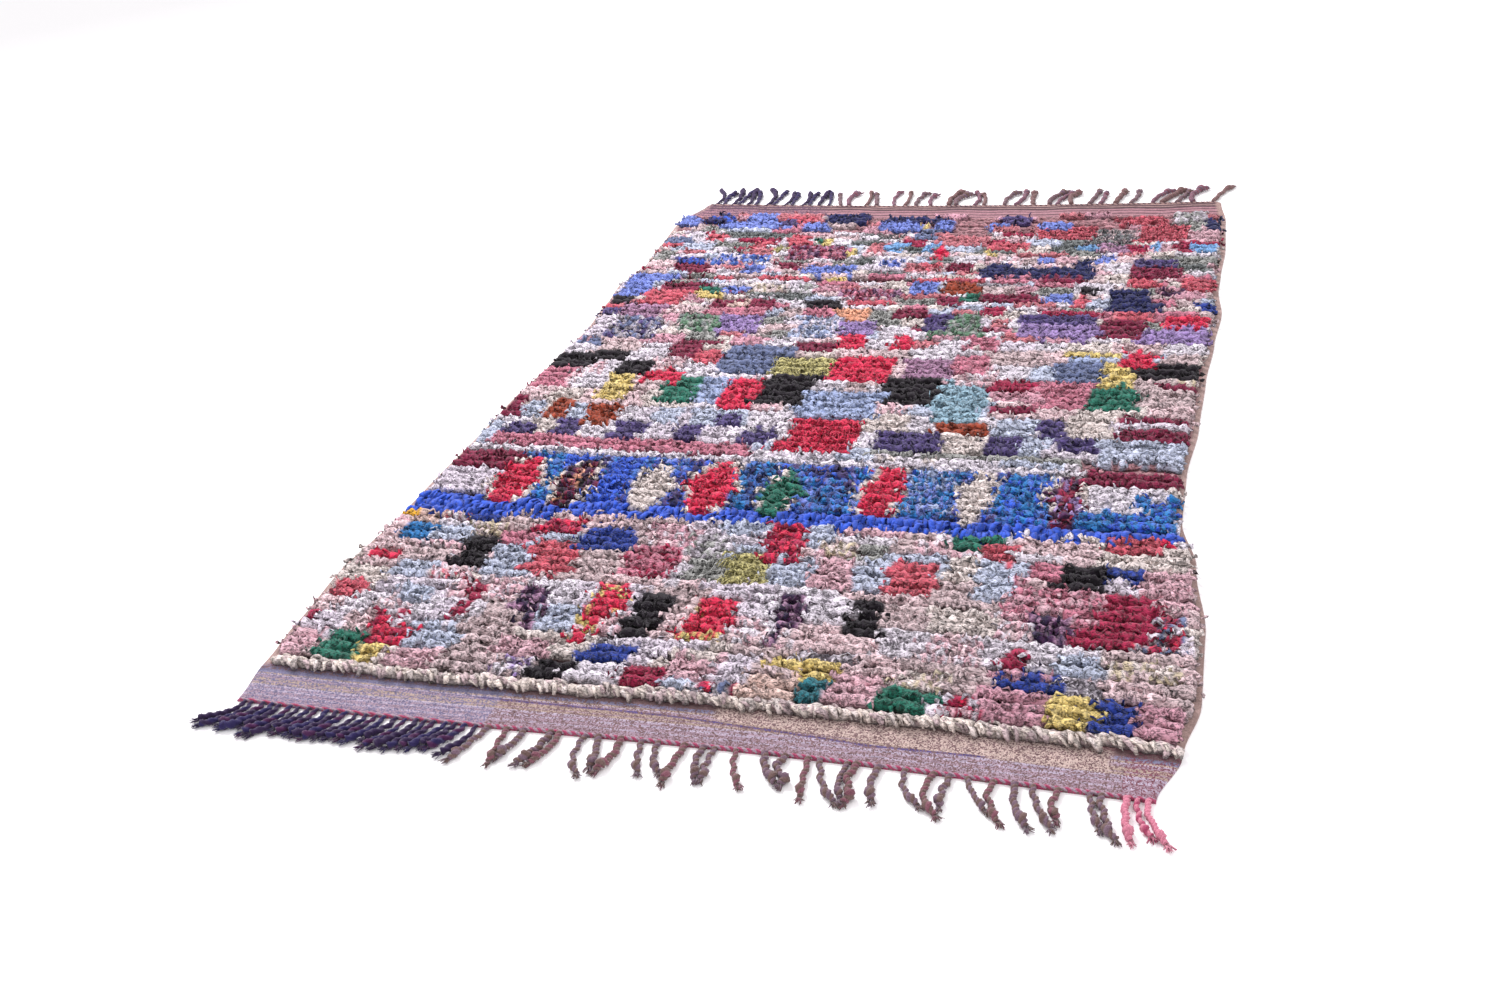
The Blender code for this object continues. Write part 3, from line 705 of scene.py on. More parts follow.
def tuft_mesh(name, spine, sides, stray, length, width, rng):
    """One rag end: rings along a spine that arches forward, closed at both ends."""
    bm = bmesh.new()
    rings = []
    sway = rng.uniform(-1.0, 1.0)
    for index, ring in enumerate(spine):
        aside = sway * width * 0.5 * index / len(spine) + rng.uniform(-1, 1) * stray * width * 0.6
        up = ring.high * length + rng.uniform(-1, 1) * stray * width * 0.5
        centre = Vector((aside, -ring.forward * length, up))
        ahead, behind = spine[min(index + 1, len(spine) - 1)], spine[max(index - 1, 0)]
        run = Vector((0.0, behind.forward - ahead.forward, ahead.high - behind.high)).normalized()
        out = Vector((1.0, 0.0, 0.0)).cross(run)
        roll = rng.uniform(-1, 1) * stray * 1.6
        verts = []
        for side in range(sides):
            angle = math.tau * (side + rng.uniform(-1, 1) * stray * 0.5) / sides + roll
            wide = math.cos(angle) * ring.wide * width / 2
            thick = math.sin(angle) * ring.thick * width / 2
            verts.append(bm.verts.new(centre + Vector((wide, 0.0, 0.0)) + out * thick))
        rings.append(verts)
    for near, far in zip(rings, rings[1:]):
        for side in range(sides):
            after = (side + 1) % sides
            bm.faces.new((near[side], near[after], far[after], far[side]))
    bm.faces.new(rings[0])
    bm.faces.new(rings[-1])
    bmesh.ops.recalc_face_normals(bm, faces=bm.faces[:])
    bmesh.ops.triangulate(bm, faces=bm.faces[:])
    for face in bm.faces:
        face.smooth = False
    mesh = bpy.data.meshes.new(name)
    bm.to_mesh(mesh)
    bm.free()
    return mesh


def tuft_shapes(sizes):
    """A collection of tuft shapes, and the numbers of each kind's shapes in it."""
    rng = random.Random(SHAPE_SEED)
    group = bpy.data.collections.new("tuft_shapes")
    numbers = {}
    for kind, count, spine, sides, stray in SHAPES:
        first = len(group.objects)
        for _ in range(count):
            name = f"tuft_{len(group.objects):02d}"
            mesh = tuft_mesh(name, spine, sides, stray, sizes.rag_length, sizes.rag_width, rng)
            group.objects.link(bpy.data.objects.new(name, mesh))
        numbers.setdefault(kind, []).extend(range(first, first + count))
    return group, numbers


def drop_shapes(group):
    """Remove the tuft shapes once everything that uses them is made."""
    for body in list(group.objects):
        discard(body)
    bpy.data.collections.remove(group)


Tuft = namedtuple("Tuft", "place turn size shape colour crumple")


def tuft_piece(name, tufts, group, crumple_size, crumple_depth, material, rows=None):
    """One piece made of many tufts, and of the matted rows that they come out of."""
    mesh = bpy.data.meshes.new(name + "_points")
    mesh.from_pydata([t.place for t in tufts], [], [])
    store(mesh, "turn", [t.turn for t in tufts])
    store(mesh, "size", [t.size for t in tufts])
    store(mesh, "rag", [t.colour for t in tufts])
    store(mesh, "crumple", [t.crumple for t in tufts])
    store(mesh, "shape", [t.shape for t in tufts])
    holder = stand(name + "_points", mesh)
    run_nodes(holder, tuft_tree(), {
        "Shapes": group, "Rows": rows, "Crumple Size": crumple_size, "Crumple Depth": crumple_depth,
        "Material": material})
    return plain_mesh(holder, name, material, keep=("rag", "crumple"))


def principled(name, roughness, sheen=0.0):
    """A material with a plain shader, its tree and the shader."""
    material = bpy.data.materials.new(name)
    material.use_nodes = True
    tree = material.node_tree
    shader = tree.nodes["Principled BSDF"]
    shader.inputs["Roughness"].default_value = roughness
    shader.inputs["Sheen Weight"].default_value = sheen
    shader.inputs["Specular IOR Level"].default_value = 0.25
    return material, tree, shader


def rag_material():
    """Washed cotton jersey, cut in strips: matt and soft, a little faded in places, with fine creases, and
    painted shade low between the rows and in the creases.
    """
    material, tree, shader = principled("washed_cotton_rag", 0.88, sheen=0.12)
    here = add(tree, "ShaderNodeTexCoord").outputs["Object"]
    fade = add(tree, "ShaderNodeTexNoise", {"Vector": here, "Scale": 190.0, "Detail": 3.0, "Roughness": 0.6})
    level = mapped(tree, fade.outputs["Fac"], 0.3, 0.7, 0.82, 1.10)
    # Shade gathers low between the rows, and reaches nearer to the tips where the pile is worn
    axes = add(tree, "ShaderNodeSeparateXYZ", {"Vector": here}).outputs
    tips = mapped(tree, axes["Y"], WEAR_START - RUG_LENGTH / 2, WEAR_END - RUG_LENGTH / 2, 0.0155, 0.0195)
    depth = mapped(tree, axes["Z"], 0.006, tips, 0.36, 1.04)
    # Fine creases of crumpled jersey, 4 mm apart along the rug and 8 mm across it. They give the relief, and
    # as painted shade they darken the colour in their hollows, less where a rag is little crumpled
    drawn = vector_maths(tree, "MULTIPLY", here, (0.5, 1.0, 1.0))
    crease = add(tree, "ShaderNodeTexNoise", {
        "Vector": drawn, "Scale": 250.0, "Detail": 2.0, "Distortion": 1.2}).outputs["Fac"]
    crease_shade = mapped(tree, crease, 0.40, 0.53, 0.30, 1.10)
    crumple = attribute(tree, "crumple")["Fac"]
    painted_crease_shade = mixed(tree, crumple, 0.96, crease_shade, "FLOAT")
    # The rag's colour times the painted shade low in the pile, the painted shade in the creases, and the
    # random fading
    shade = maths(tree, maths(tree, depth, painted_crease_shade), level)
    faded = vector_maths(tree, "SCALE", attribute(tree, "rag")["Vector"], shade)
    surface(tree, shader, faded, crease, crumple, 0.0030)
    return material


def woven_material():
    """Hand-spun wool in plain weave: dull, with the warp showing as specks between the wefts."""
    material, tree, shader = principled("plain_woven_wool", 0.92, sheen=0.15)
    # One cell of the pattern is one crossing of warp and weft, WARP_BEATS millimetres across
    crossing = add(tree, "ShaderNodeTexVoronoi", {
        "Vector": attribute(tree, "threads")["Vector"], "Scale": 1.0, "Randomness": 0.75}).outputs
    pick = add(tree, "ShaderNodeSeparateColor", {"Color": crossing["Color"]}).outputs
    shows = maths(tree, pick["Red"], 0.42, "LESS_THAN")
    speck = mixed(tree, shows, attribute(tree, "weft")["Color"], attribute(tree, "warp")["Color"])
    level = mapped(tree, pick["Green"], 0.0, 1.0, 0.72, 1.18)
    spun = vector_maths(tree, "SCALE", speck, level)
    surface(tree, shader, spun, crossing["Distance"], 0.7, 0.0012, invert=True)
    return material


def cord_material():
    """Two-ply wool warp ends: dull and hairy, each ply of its own shade."""
    material, tree, shader = principled("plied_wool", 0.92, sheen=0.2)
    plies = mixed(tree, attribute(tree, "ply")["Fac"], attribute(tree, "first_ply")["Color"],
                  attribute(tree, "second_ply")["Color"])
    here = add(tree, "ShaderNodeTexCoord").outputs["Object"]
    fibre = add(tree, "ShaderNodeTexNoise", {"Vector": here, "Scale": 700.0, "Detail": 2.0}).outputs["Fac"]
    level = mapped(tree, fibre, 0.3, 0.7, 0.65, 1.3)
    spun = vector_maths(tree, "SCALE", plies, level)
    surface(tree, shader, spun, fibre, 0.6, 0.001)
    return material


def fibre_material():
    """Loose wool fibres, hairy and matt, in the colour of the ply that they come from."""
    material, tree, shader = principled("loose_wool_fibre", 0.95, sheen=0.2)
    tree.links.new(attribute(tree, "rag")["Color"], shader.inputs["Base Color"])
    return material


# Stripes of the flat-woven ends: each starts so many millimetres from the end of the cloth
FRONT_STRIPES = (
    (0.0, "raspberry"), (6.0, "band_mauve"), (17.0, "band_lilac"), (21.0, "band_mauve"),
    (29.0, "band_lilac"), (34.0, "band_mauve"), (38.0, "band_lilac"), (44.0, "band_gold"),
    (48.0, "band_mauve"), (51.0, "band_gold"), (60.0, "band_mauve"), (66.0, "band_lilac"),
    (69.0, "band_gold"), (73.0, "band_slate"), (80.0, "band_brown"),
)
BACK_STRIPES = (
    (0.0, "back_tan"), (8.0, "back_brown"), (19.0, "back_tan"), (24.0, "back_brown"), (38.0, "back_rose"),
    (48.0, "back_brown"), (54.0, "back_rose"), (70.0, "back_brown"), (76.0, "back_rose"),
    (90.0, "back_brown"), (94.0, "back_rose"),
)
BACK_STRIPE_WAVE = 0.0022
# How wide the selvedges are, and how far their last millimetres are rounded down
SELVEDGE = 0.014
EDGE_ROUND = 0.006
EDGE_DROP = 0.0018
# How far a weft's crest rises and the hollow beside it sinks
CREST_LIFT = (0.0002, 0.0007)
HOLLOW_LIFT = (-0.0004, 0.0)
# Millimetres from one warp to the next
WARP_BEATS = 1.9
# The columns of the cloth's grid on each side of the changes of the warp, and on the changes
GROUND_COLUMNS = (38, 1, 78, 1, 7)
CHANGE_HALF = 0.0005
GROUND_SEED = 5
# A single indigo weft and a sand wedge in the front band, as points across the rug and along it
INDIGO_LINE = ((-0.30, 0.064), (0.00, 0.060), (0.30, 0.040), (0.46, 0.046))
SAND_WEDGE = ((0.06, 0.062), (0.35, 0.046), (0.62, 0.044))


def stripe_at(stripes, from_end):
    """The weft at a distance from the end of the cloth, in metres."""
    found = [rag for start, rag in stripes if start <= from_end * 1000.0]
    return found[-1]


def level_at(points, x):
    """The height of a broken line of (x, y) points, or None past its ends."""
    for (x0, y0), (x1, y1) in zip(points, points[1:]):
        if x0 <= x <= x1:
            return y0 + (y1 - y0) * (x - x0) / (x1 - x0)
    return None


def weft_at(x, along, pitch):
    """The name of the weft at a point of the cloth."""
    if along <= FRONT_BAND:
        line = level_at(INDIGO_LINE, x)
        if line is not None and abs(along - line) < pitch * 0.8:
            return "indigo"
        wedge = level_at(SAND_WEDGE, x)
        if wedge is not None and along > wedge:
            return "band_sand"
        return stripe_at(FRONT_STRIPES, along)
    if along >= RUG_LENGTH - BACK_BAND:
        waver = BACK_STRIPE_WAVE * (math.sin(19.0 * x + 0.6) + math.sin(43.0 * x))
        return stripe_at(BACK_STRIPES, max(0.0, RUG_LENGTH - along + waver))
    return "rib"


def warp_at(x, along):
    """The name of the warp that shows between the wefts, or None where they cover it."""
    if along > RUG_LENGTH - BACK_BAND and x < WARP_BACK_CHANGE:
        return "back_violet"
    if along > FRONT_BAND:
        return None
    if x < WARP_FIRST_CHANGE:
        return "band_navy"
    return "band_brown" if x < WARP_LAST_CHANGE else "cord_rose"


def ground_lines(pitch):
    """The lines across the cloth as (distance along, whether it is the crest of a weft)."""
    lines = []
    for start, depth in ((0.0, FRONT_BAND), (RUG_LENGTH - BACK_BAND, BACK_BAND)):
        beats = round(depth / pitch)
        lines.append([(start + depth * i / (2 * beats), i % 2 == 1) for i in range(2 * beats + 1)])
    front, back = lines
    middle = [(FRONT_BAND + ROW_PITCH * i / 2, False) for i in range(1, 2 * PILE_ROWS)]
    return front + middle + back


def ground_columns(along):
    """The places of the grid's columns across the cloth, with one on each change of the warp."""
    left, right = left_side(along), right_side(along)
    stops = [left, WARP_FIRST_CHANGE - CHANGE_HALF, WARP_FIRST_CHANGE + CHANGE_HALF,
             WARP_LAST_CHANGE - CHANGE_HALF, WARP_LAST_CHANGE + CHANGE_HALF, right]
    places = []
    for start, stop, count in zip(stops, stops[1:], GROUND_COLUMNS):
        places += [start + (stop - start) * i / count for i in range(count)]
    return places + [right]


def make_ground(sizes, colours):
    """The woven cloth as one closed sheet, with its wefts raised where no pile hides them."""
    rng = random.Random(GROUND_SEED)
    bm = bmesh.new()
    weft = bm.verts.layers.float_vector.new("weft")
    warp = bm.verts.layers.float_vector.new("warp")
    threads = bm.verts.layers.float_vector.new("threads")
    grid = []
    for along, crest in ground_lines(sizes.weft_pitch):
        row = []
        banded = not FRONT_BAND < along < RUG_LENGTH - BACK_BAND
        for x in ground_columns(along):
            lift = rng.uniform(*(CREST_LIFT if crest else HOLLOW_LIFT))
            level = CLOTH_THICKNESS + (lift if banded else 0.0)
            edge = min(x - left_side(along), right_side(along) - x)
            level -= EDGE_DROP * max(0.0, 1.0 - edge / EDGE_ROUND)
            vert = bm.verts.new(Vector((x, place(x, along), level)) + CENTRING)
            rag = weft_at(x, along, sizes.weft_pitch)
            if edge < SELVEDGE and along > FRONT_BAND:
                rag = "selvedge"
            vert[weft] = getattr(colours, rag)
            vert[warp] = getattr(colours, warp_at(x, along) or rag)
            vert[threads] = (x * 1000.0 / WARP_BEATS, along * 1000.0 / WARP_BEATS, 0.0)
            row.append(vert)
        grid.append(row)
    for near, far in zip(grid, grid[1:]):
        for column in range(len(near) - 1):
            bm.faces.new((near[column], near[column + 1], far[column + 1], far[column]))
    # Underside: the rims drop to the floor, and both ends have a wall under each column
    rims = [tuple(drop(bm, row[end]) for end in (0, -1)) for row in grid]
    for near, far, low, high in zip(grid, grid[1:], rims, rims[1:]):
        bm.faces.new((near[0], far[0], high[0], low[0]))
        bm.faces.new((near[-1], low[1], high[1], far[-1]))
    reach = 2 * round(FRONT_BAND / sizes.weft_pitch)
    for row, band in ((grid[0], rims[:reach]), (grid[-1], rims[:-reach:-1])):
        foot = [band[0][0]] + [drop(bm, vert) for vert in row[1:-1]] + [band[0][1]]
        for column in range(len(row) - 1):
            bm.faces.new((row[column], foot[column], foot[column + 1], row[column + 1]))
        bm.faces.new(foot + [right for _, right in band[1:]] + [left for left, _ in reversed(band[1:])])
    inner = rims[reach - 1:len(rims) - reach + 2]
    for low, high in zip(inner, inner[1:]):
        bm.faces.new((low[0], high[0], high[1], low[1]))
    bmesh.ops.triangulate(bm, faces=bm.faces[:])
    bmesh.ops.recalc_face_normals(bm, faces=bm.faces[:])
    mesh = bpy.data.meshes.new("woven_ground")
    bm.to_mesh(mesh)
    bm.free()
    mesh.materials.append(woven_material())
    return stand("woven_ground", mesh)


def drop(bm, vert):
    """A copy of a point of the cloth, straight below it on the floor."""
    foot = bm.verts.new((vert.co.x, vert.co.y, 0.0))
    for label in ("weft", "warp", "threads"):
        layer = bm.verts.layers.float_vector[label]
        foot[layer] = vert[layer]
    return foot


def lozenge_reach(lozenge, x, y):
    """How far out a point is from a lozenge's middle: 1 at its own edge."""
    across = abs(x - (lozenge.left + lozenge.right) / 2) / ((lozenge.right - lozenge.left) / 2)
    deep = abs(y - (lozenge.front + lozenge.back) / 2) / ((lozenge.back - lozenge.front) / 2)
    return max(across * LOZENGE_ACROSS + deep * LOZENGE_ALONG, deep)


def field_panels(rng):
    """The fillings between the patches, as (row to stop before, list of (right edge, rag))."""
    bands = []
    row = 0
    while row < PILE_ROWS:
        y = chart_y(row)
        deep, narrow, wide = FRONT_FILLINGS if y < FILLING_CHANGE else BACK_FILLINGS
        stop = min(PILE_ROWS, row + rng.choice(deep))
        rags = next(rags for back, rags in FIELDS if y < back)
        panels = []
        x = -80.0
        while x < 80.0:
            x += rng.uniform(narrow, wide)
            choice = [rag for rag in rags if not panels or rag != panels[-1][1] or rag == "bare"]
            panels.append((x, rng.choice(choice)))
        bands.append((stop, panels))
        row = stop
    return bands


def chart_y(row):
    """How far back a row of knots is on the chart, in centimetres from the middle of the cloth."""
    return 100.0 * (FRONT_BAND + (row + CREST_PLACE) * ROW_PITCH - RUG_LENGTH / 2) + CHART_SHIFT


def rag_at(x, y, row, bands):
    """The rag knotted at a point of the chart, by name."""
    for lozenge in LOZENGES:
        out = lozenge_reach(lozenge, x, y)
        if out < 1.0:
            return lozenge.rag
        if out < LOZENGE_OUTLINE and lozenge.rag != "cream" and lozenge.front < y < lozenge.back:
            return "cream"
    silk_front = SILK_FRONT_LEFT + (SILK_FRONT_RIGHT - SILK_FRONT_LEFT) * (x + 70.0) / 140.0
    if silk_front < y < SILK_BACK:
        return "cobalt_silk"
    found = None
    for rag, patches in CHART:
        for left, right, front, back in patches:
            if left <= x < right and front <= y < back:
                found = rag
    if found is None:
        panels = next(panels for stop, panels in bands if row < stop)
        found = next(rag for edge, rag in panels if x < edge)
    return found


def rag_tint(name, colours, rng):
    """The colour of one rag end, a little lighter, darker or greyer than its cloth."""
    name = YARN_COLOURS.get(name, name) if name != "bare" else "ground_rose"
    if name in BLENDS:
        name = rng.choice(BLENDS[name])
    colour = Vector(getattr(colours, name))
    grey = sum(colour) / 3.0
    share = rng.uniform(*GREYING)
    colour = colour * (1.0 - share) + Vector((grey, grey, grey)) * share
    return colour * rng.uniform(*LIGHTNESS)


# Rag ends that stand out of a row at each knot, and how far they fan out in degrees
ENDS_OF_KNOT = {"rag": 3, "silk": 3, "shag": 5, "rope": 3}
FAN_OF_KNOT = {"rag": 150, "silk": 40, "shag": 90, "rope": 48}
# How far they turn from the front of the rug to its right, in degrees, where they turn at all
LEAN_OF_KNOT = {"rope": 46.0}
# How high the matted part of a row is at each kind of knot, as a share of the usual height
MATTED_SHARE = {"rag": 1.0, "silk": 0.72, "shag": 0.80, "bare": 0.46, "rope": 0.80}
# How deep it is there, where that isn't the usual depth
MATTED_DEPTH = {"bare": 0.8, "rope": 0.8}
# How crumpled the rag ends of a knot are, as a share of the usual crumple
CRUMPLE_OF_KNOT = {"rag": 1.0, "silk": 0.40, "shag": 1.0, "bare": 1.0, "rope": 0.85}

# Ranges of a rag end's tilt and roll in degrees, of its length, width and height as shares of the
# usual, and of how grey and how light it is beside its cloth
TILT = (-16, 12)
ROLL = (-28, 28)
LENGTHS = (0.78, 1.16)
WIDTHS = (0.75, 1.20)
HEIGHTS = (0.88, 1.06)
GREYING = (0.0, 0.10)
LIGHTNESS = (0.72, 1.14)
# Ranges of how high and deep the matted part of a row is, and its share at the row's two ends
MATTED_HEIGHTS = (0.70, 1.10)
MATTED_DEPTHS = (0.76, 1.08)
MATTED_END = 0.7
# How much narrower a worn row is
WORN_NARROWING = 0.06

Knot = namedtuple("Knot", "x y kind rag")
# How far a knot strays across and along the rug, and how far its rag strays from the chart across
# and along it, in centimetres
KNOT_ACROSS = 0.0012
KNOT_ALONG = 0.0015
CHART_ACROSS = 0.5
CHART_ALONG = 0.25
# How far a row of knots drifts from its line
ROW_DRIFT = 0.0016
# How many knots at each end of a row turn inwards
EDGE_KNOTS = 3


def worn(y):
    """How far the pile is worn down at a place along the rug, from 0 to 1."""
    along = y + RUG_LENGTH / 2
    return min(1.0, max(0.0, (along - WEAR_START) / (WEAR_END - WEAR_START)))


def pile_knots(sizes):
    """The knots of every row of the pile, from front to back and from left to right."""
    rng = random.Random(sizes.pile_seed)
    bands = field_panels(rng)
    rows = []
    for row in range(PILE_ROWS):
        along = FRONT_BAND + (row + CREST_PLACE) * ROW_PITCH
        bare = BARE_SELVEDGE if along > SELVEDGE_SHOWS else 0.0
        left, right = left_side(along) + LEFT_MARGIN, right_side(along) - bare - RIGHT_MARGIN
        slip = rng.uniform(-CHART_ACROSS, CHART_ACROSS)
        swell = rng.uniform(0.0, math.tau)
        count = round((right - left) / sizes.knot_pitch)
        knots = []
        for number in range(count + 1):
            x = left + (right - left) * number / count + rng.uniform(-KNOT_ACROSS, KNOT_ACROSS)
            rag = "rope_mix"
            chart_x = 100.0 * x + slip + rng.uniform(-CHART_ACROSS, CHART_ACROSS)
            if row:
                rag = rag_at(chart_x, chart_y(row) + rng.uniform(-CHART_ALONG, CHART_ALONG), row, bands)
            kind = "bare" if rag == "bare" else YARN_KINDS.get(rag, "rag")
            drift = ROW_DRIFT * (math.sin(11.0 * x + swell) + 0.8 * math.sin(27.0 * x + 2.0 * swell))
            y = place(x, along) + drift + rng.uniform(-KNOT_ALONG, KNOT_ALONG)
            knots.append(Knot(x, y, kind, rag))
        rows.append(knots)
    return rows


def knot_tufts(knot, lean, edge, turns, colours, numbers, rng):
    """The rag ends that stand out at one knot, as long as edge says and turned between two angles."""
    made = []
    if knot.kind == "bare":
        return made
    ends = ENDS_OF_KNOT[knot.kind]
    for end in range(ends):
        spread = (end + 0.5) / ends - 0.5
        swing = FAN_OF_KNOT[knot.kind] * (spread + rng.uniform(-0.4, 0.4))
        if knot.kind == "rag":
            swing += math.copysign(WORN_SWING * worn(knot.y), swing)
        turn = (math.radians(rng.uniform(*TILT)), math.radians(rng.uniform(*ROLL)),
                math.radians(min(turns[1], max(turns[0], swing + lean))))
        size = rng.uniform(*LENGTHS)
        wide = rng.uniform(*WIDTHS)
        spot = Vector((knot.x + rng.uniform(-0.005, 0.005), knot.y + rng.uniform(-0.003, 0.004),
                       CLOTH_THICKNESS - 0.001)) + CENTRING
        reach = size * edge * (1.0 - (1.0 - WORN_REACH) * worn(knot.y))
        high = size * edge * rng.uniform(*HEIGHTS) * (1.0 - (1.0 - WORN_HEIGHT) * worn(knot.y))
        made.append(Tuft(spot, turn, (wide, reach, high),
                         rng.choice(numbers[knot.kind]), rag_tint(knot.rag, colours, rng),
                         CRUMPLE_OF_KNOT[knot.kind]))
    return made


def row_tufts(knots, colours, numbers, rng):
    """The rag ends of one row, shorter at the selvedges and turned inwards there."""
    made = []
    for number, knot in enumerate(knots):
        lean = LEAN_OF_KNOT.get(knot.kind, 0.0)
        edge = 1.0
        turns = [-180.0, 180.0]
        if number < EDGE_KNOTS:
            lean += 30.0 - 10.0 * number
            edge = 0.78 + 0.07 * number
            turns[0] = -25.0 - 15.0 * number
        last = len(knots) - 1 - number
        if last < EDGE_KNOTS:
            lean -= 10.0 * (EDGE_KNOTS - last)
            edge = 1.0 - 0.06 * (EDGE_KNOTS - last)
            turns[1] = 25.0 + 15.0 * last
        made += knot_tufts(knot, lean, edge, turns, colours, numbers, rng)
    return made
# The matted part of a row: an arch in so many faces, from one angle through another, on a flat foot
ROW_SIDES = 8
ROW_HALF_DEPTH = 0.0118
ROW_HEIGHT = 0.0205
ROW_ARCH_START = -22.0
ROW_ARCH = 224.0


def matted_rows(name, rows, colours, rng):
    """The matted ropes that the rows' rags have felted into, two rings for each knot, flat below."""
    points, faces, tints, shares = [], [], [], []
    for knots in rows:
        first = len(points)
        rings = []
        for knot, after in zip(knots, knots[1:] + knots[-1:]):
            for share in (0.0, 0.5):
                rings.append((knot.x + (after.x - knot.x) * share, knot.y, knot))
        swell = rng.uniform(0.0, math.tau)
        for number, (x, y, knot) in enumerate(rings[:-1]):
            high = ROW_HEIGHT * MATTED_SHARE[knot.kind] * rng.uniform(*MATTED_HEIGHTS)
            deep = ROW_HALF_DEPTH * rng.uniform(*MATTED_DEPTHS) * MATTED_DEPTH.get(knot.kind, 1.0)
            deep *= 1.0 - WORN_NARROWING * worn(knot.y)
            if number in (0, len(rings) - 2):
                high, deep = high * MATTED_END, deep * MATTED_END
            y += 0.0018 * math.sin(number * 0.35 + swell) + 0.0020 * math.sin(number * 0.13 + 2.0 * swell)
            tint = rag_tint(knot.rag, colours, rng)
            for side in range(ROW_SIDES + 1):
                angle = math.radians(ROW_ARCH_START + ROW_ARCH * side / ROW_SIDES)
                spot = Vector((x, y - deep * math.cos(angle),
                               CLOTH_THICKNESS - 0.0005 + high * (0.38 + 0.62 * math.sin(angle))))
                points.append(spot + Vector((rng.uniform(-0.0012, 0.0012), 0.0, 0.0)) + CENTRING)
                tints.append(tint)
                shares.append(CRUMPLE_OF_KNOT[knot.kind])
        ring = ROW_SIDES + 1
        count = (len(points) - first) // ring
        for number in range(count - 1):
            near, far = first + number * ring, first + (number + 1) * ring
            for side in range(ring):
                after = (side + 1) % ring
                faces.append((near + side, far + side, far + after))
                faces.append((near + side, far + after, near + after))
        faces.append(tuple(first + side for side in range(ring)))
        faces.append(tuple(first + (count - 1) * ring + side for side in reversed(range(ring))))
    mesh = bpy.data.meshes.new(name)
    mesh.from_pydata(points, [], faces)
    store(mesh, "rag", tints)
    store(mesh, "crumple", shares)
    return bpy.data.objects.new(name, mesh)


def right_of(route, out):
    """How far right a strand reaches at a distance out from the end of the cloth.

    Past its tip the reach falls away to the left, so that the next strand can pass round it.
    """
    for near, far in zip(route, route[1:]):
        if out <= far.out:
            share = max(0.0, (out - near.out) / (far.out - near.out))
            return near.x + near.half + (far.x + far.half - near.x - near.half) * share
    past = max(0.0, out - route[-1].out - TIP_CLEARANCE)
    return route[-1].x + route[-1].half - past


def strand_route(run, number, laid, rng):
    """The centre line of a strand on the floor: its points with the half width at each.

    A strand lies to the right of the strands already laid, and never on one.
    """
    share = (number + 0.5) / run.strands
    pitch = (run.stop - run.start) / run.strands
    x = run.start + pitch * (number + 0.5 + run.scatter * rng.uniform(-0.5, 0.5))
    y = front_edge(x) if run.end < 0 else back_edge(x)
    reach = run.length * rng.uniform(SHORTEST_STRAND, LONGEST_STRAND)
    lean = run.first_lean + (run.last_lean - run.first_lean) * share
    tip = lean * reach + run.stray * rng.uniform(-1.0, 1.0)
    bow = run.bend * reach * rng.uniform(-0.5, 0.5)
    curl = run.stray * rng.uniform(-1.0, 1.0)
    route = []
    for index in range(STRAND_SEGMENTS + 1):
        part = index / STRAND_SEGMENTS
        out = reach * part * (1.0 - STRAND_SLACK * part)
        side = tip * part * part + bow * math.sin(math.pi * part)
        side += curl * max(0.0, part - CURL_START) ** 2
        half = run.width / 2
        if index == STRAND_SEGMENTS - 1:
            half *= KNOT_SHARE
        if index == STRAND_SEGMENTS:
            half *= TIP_SHARE
        spot = x + side
        for other in laid[-NEAR_STRANDS:]:
            for step in NEAR_STEPS:
                spot = max(spot, right_of(other, out + step * run.width) + half + STRAND_GAP)
        if index == 0:
            x = min(spot, run.stop - run.width)
            spot = x
        route.append(Spot(spot, y + run.end * out, half, out))
    return route


def fringe_routes(end):
    """Every strand's route at one end of the rug, by the name of its run, from left to right."""
    rng = random.Random(FRINGE_SEED + end)
    routes = {}
    laid = []
    for run in RUNS:
        if run.end == end:
            for number in range(run.strands):
                laid.append(strand_route(run, number, laid, rng))
            routes[run.name] = laid[-run.strands:]
    return routes


# The two plies of a run's cords, for each of its strands in turn
PLIES = {
    "fringe_front_aubergine": (
        ("aubergine", "aubergine"), ("aubergine_blue", "aubergine"), ("plum", "aubergine"),
        ("aubergine_blue", "aubergine_blue"), ("aubergine", "aubergine"), ("plum", "aubergine_blue")),
    "fringe_front_marled": (
        ("cord_mauve", "cord_brown"), ("cord_rose", "cord_brown"), ("cord_brown", "cord_mauve")),
    "fringe_front_raspberry": (("rose", "rose"), ("raspberry", "rose")),
    "fringe_back_aubergine": (("aubergine", "aubergine"), ("aubergine_blue", "aubergine")),
    "fringe_back_marled": (
        ("cord_mauve", "cord_brown"), ("cord_rose", "cord_mauve"), ("bark", "cord_brown")),
}
# The two plies of the cord twined along each end of the cloth
TWINE_PLIES = {-1: ("raspberry", "band_mauve"), 1: ("back_tan", "back_brown")}
TWINE_STEP = 0.01
TWINE_INSET = 0.001
TWINE_BACK = 0.002
TWINE_MIDDLE = 0.0044
TWINE_HALF = 0.0030
# How stout a cord is at each end of the rug, for the half width of its strand, and how much its
# knot or its bushy end adds
STOUT = {-1: 1.18, 1: 1.45}
SWELL = 0.80
# Length of one facet along a cord, and points of a smooth line for each part of a strand
CORD_STEP = 0.0021
LINE_STEPS = 7
CORD_SEED = 31
# How many points of a smooth line a strand's knot reaches to either side
KNOT_REACH = 3.4
# Loose fibres past a knot, and the size and depth of the crumple of the pile and of the fibres
TIP_HAIRS = 16
PILE_CRUMPLE_SIZE = 0.006
FRAY_CRUMPLE_SIZE = 0.004
FRAY_CRUMPLE_DEPTH = 0.001


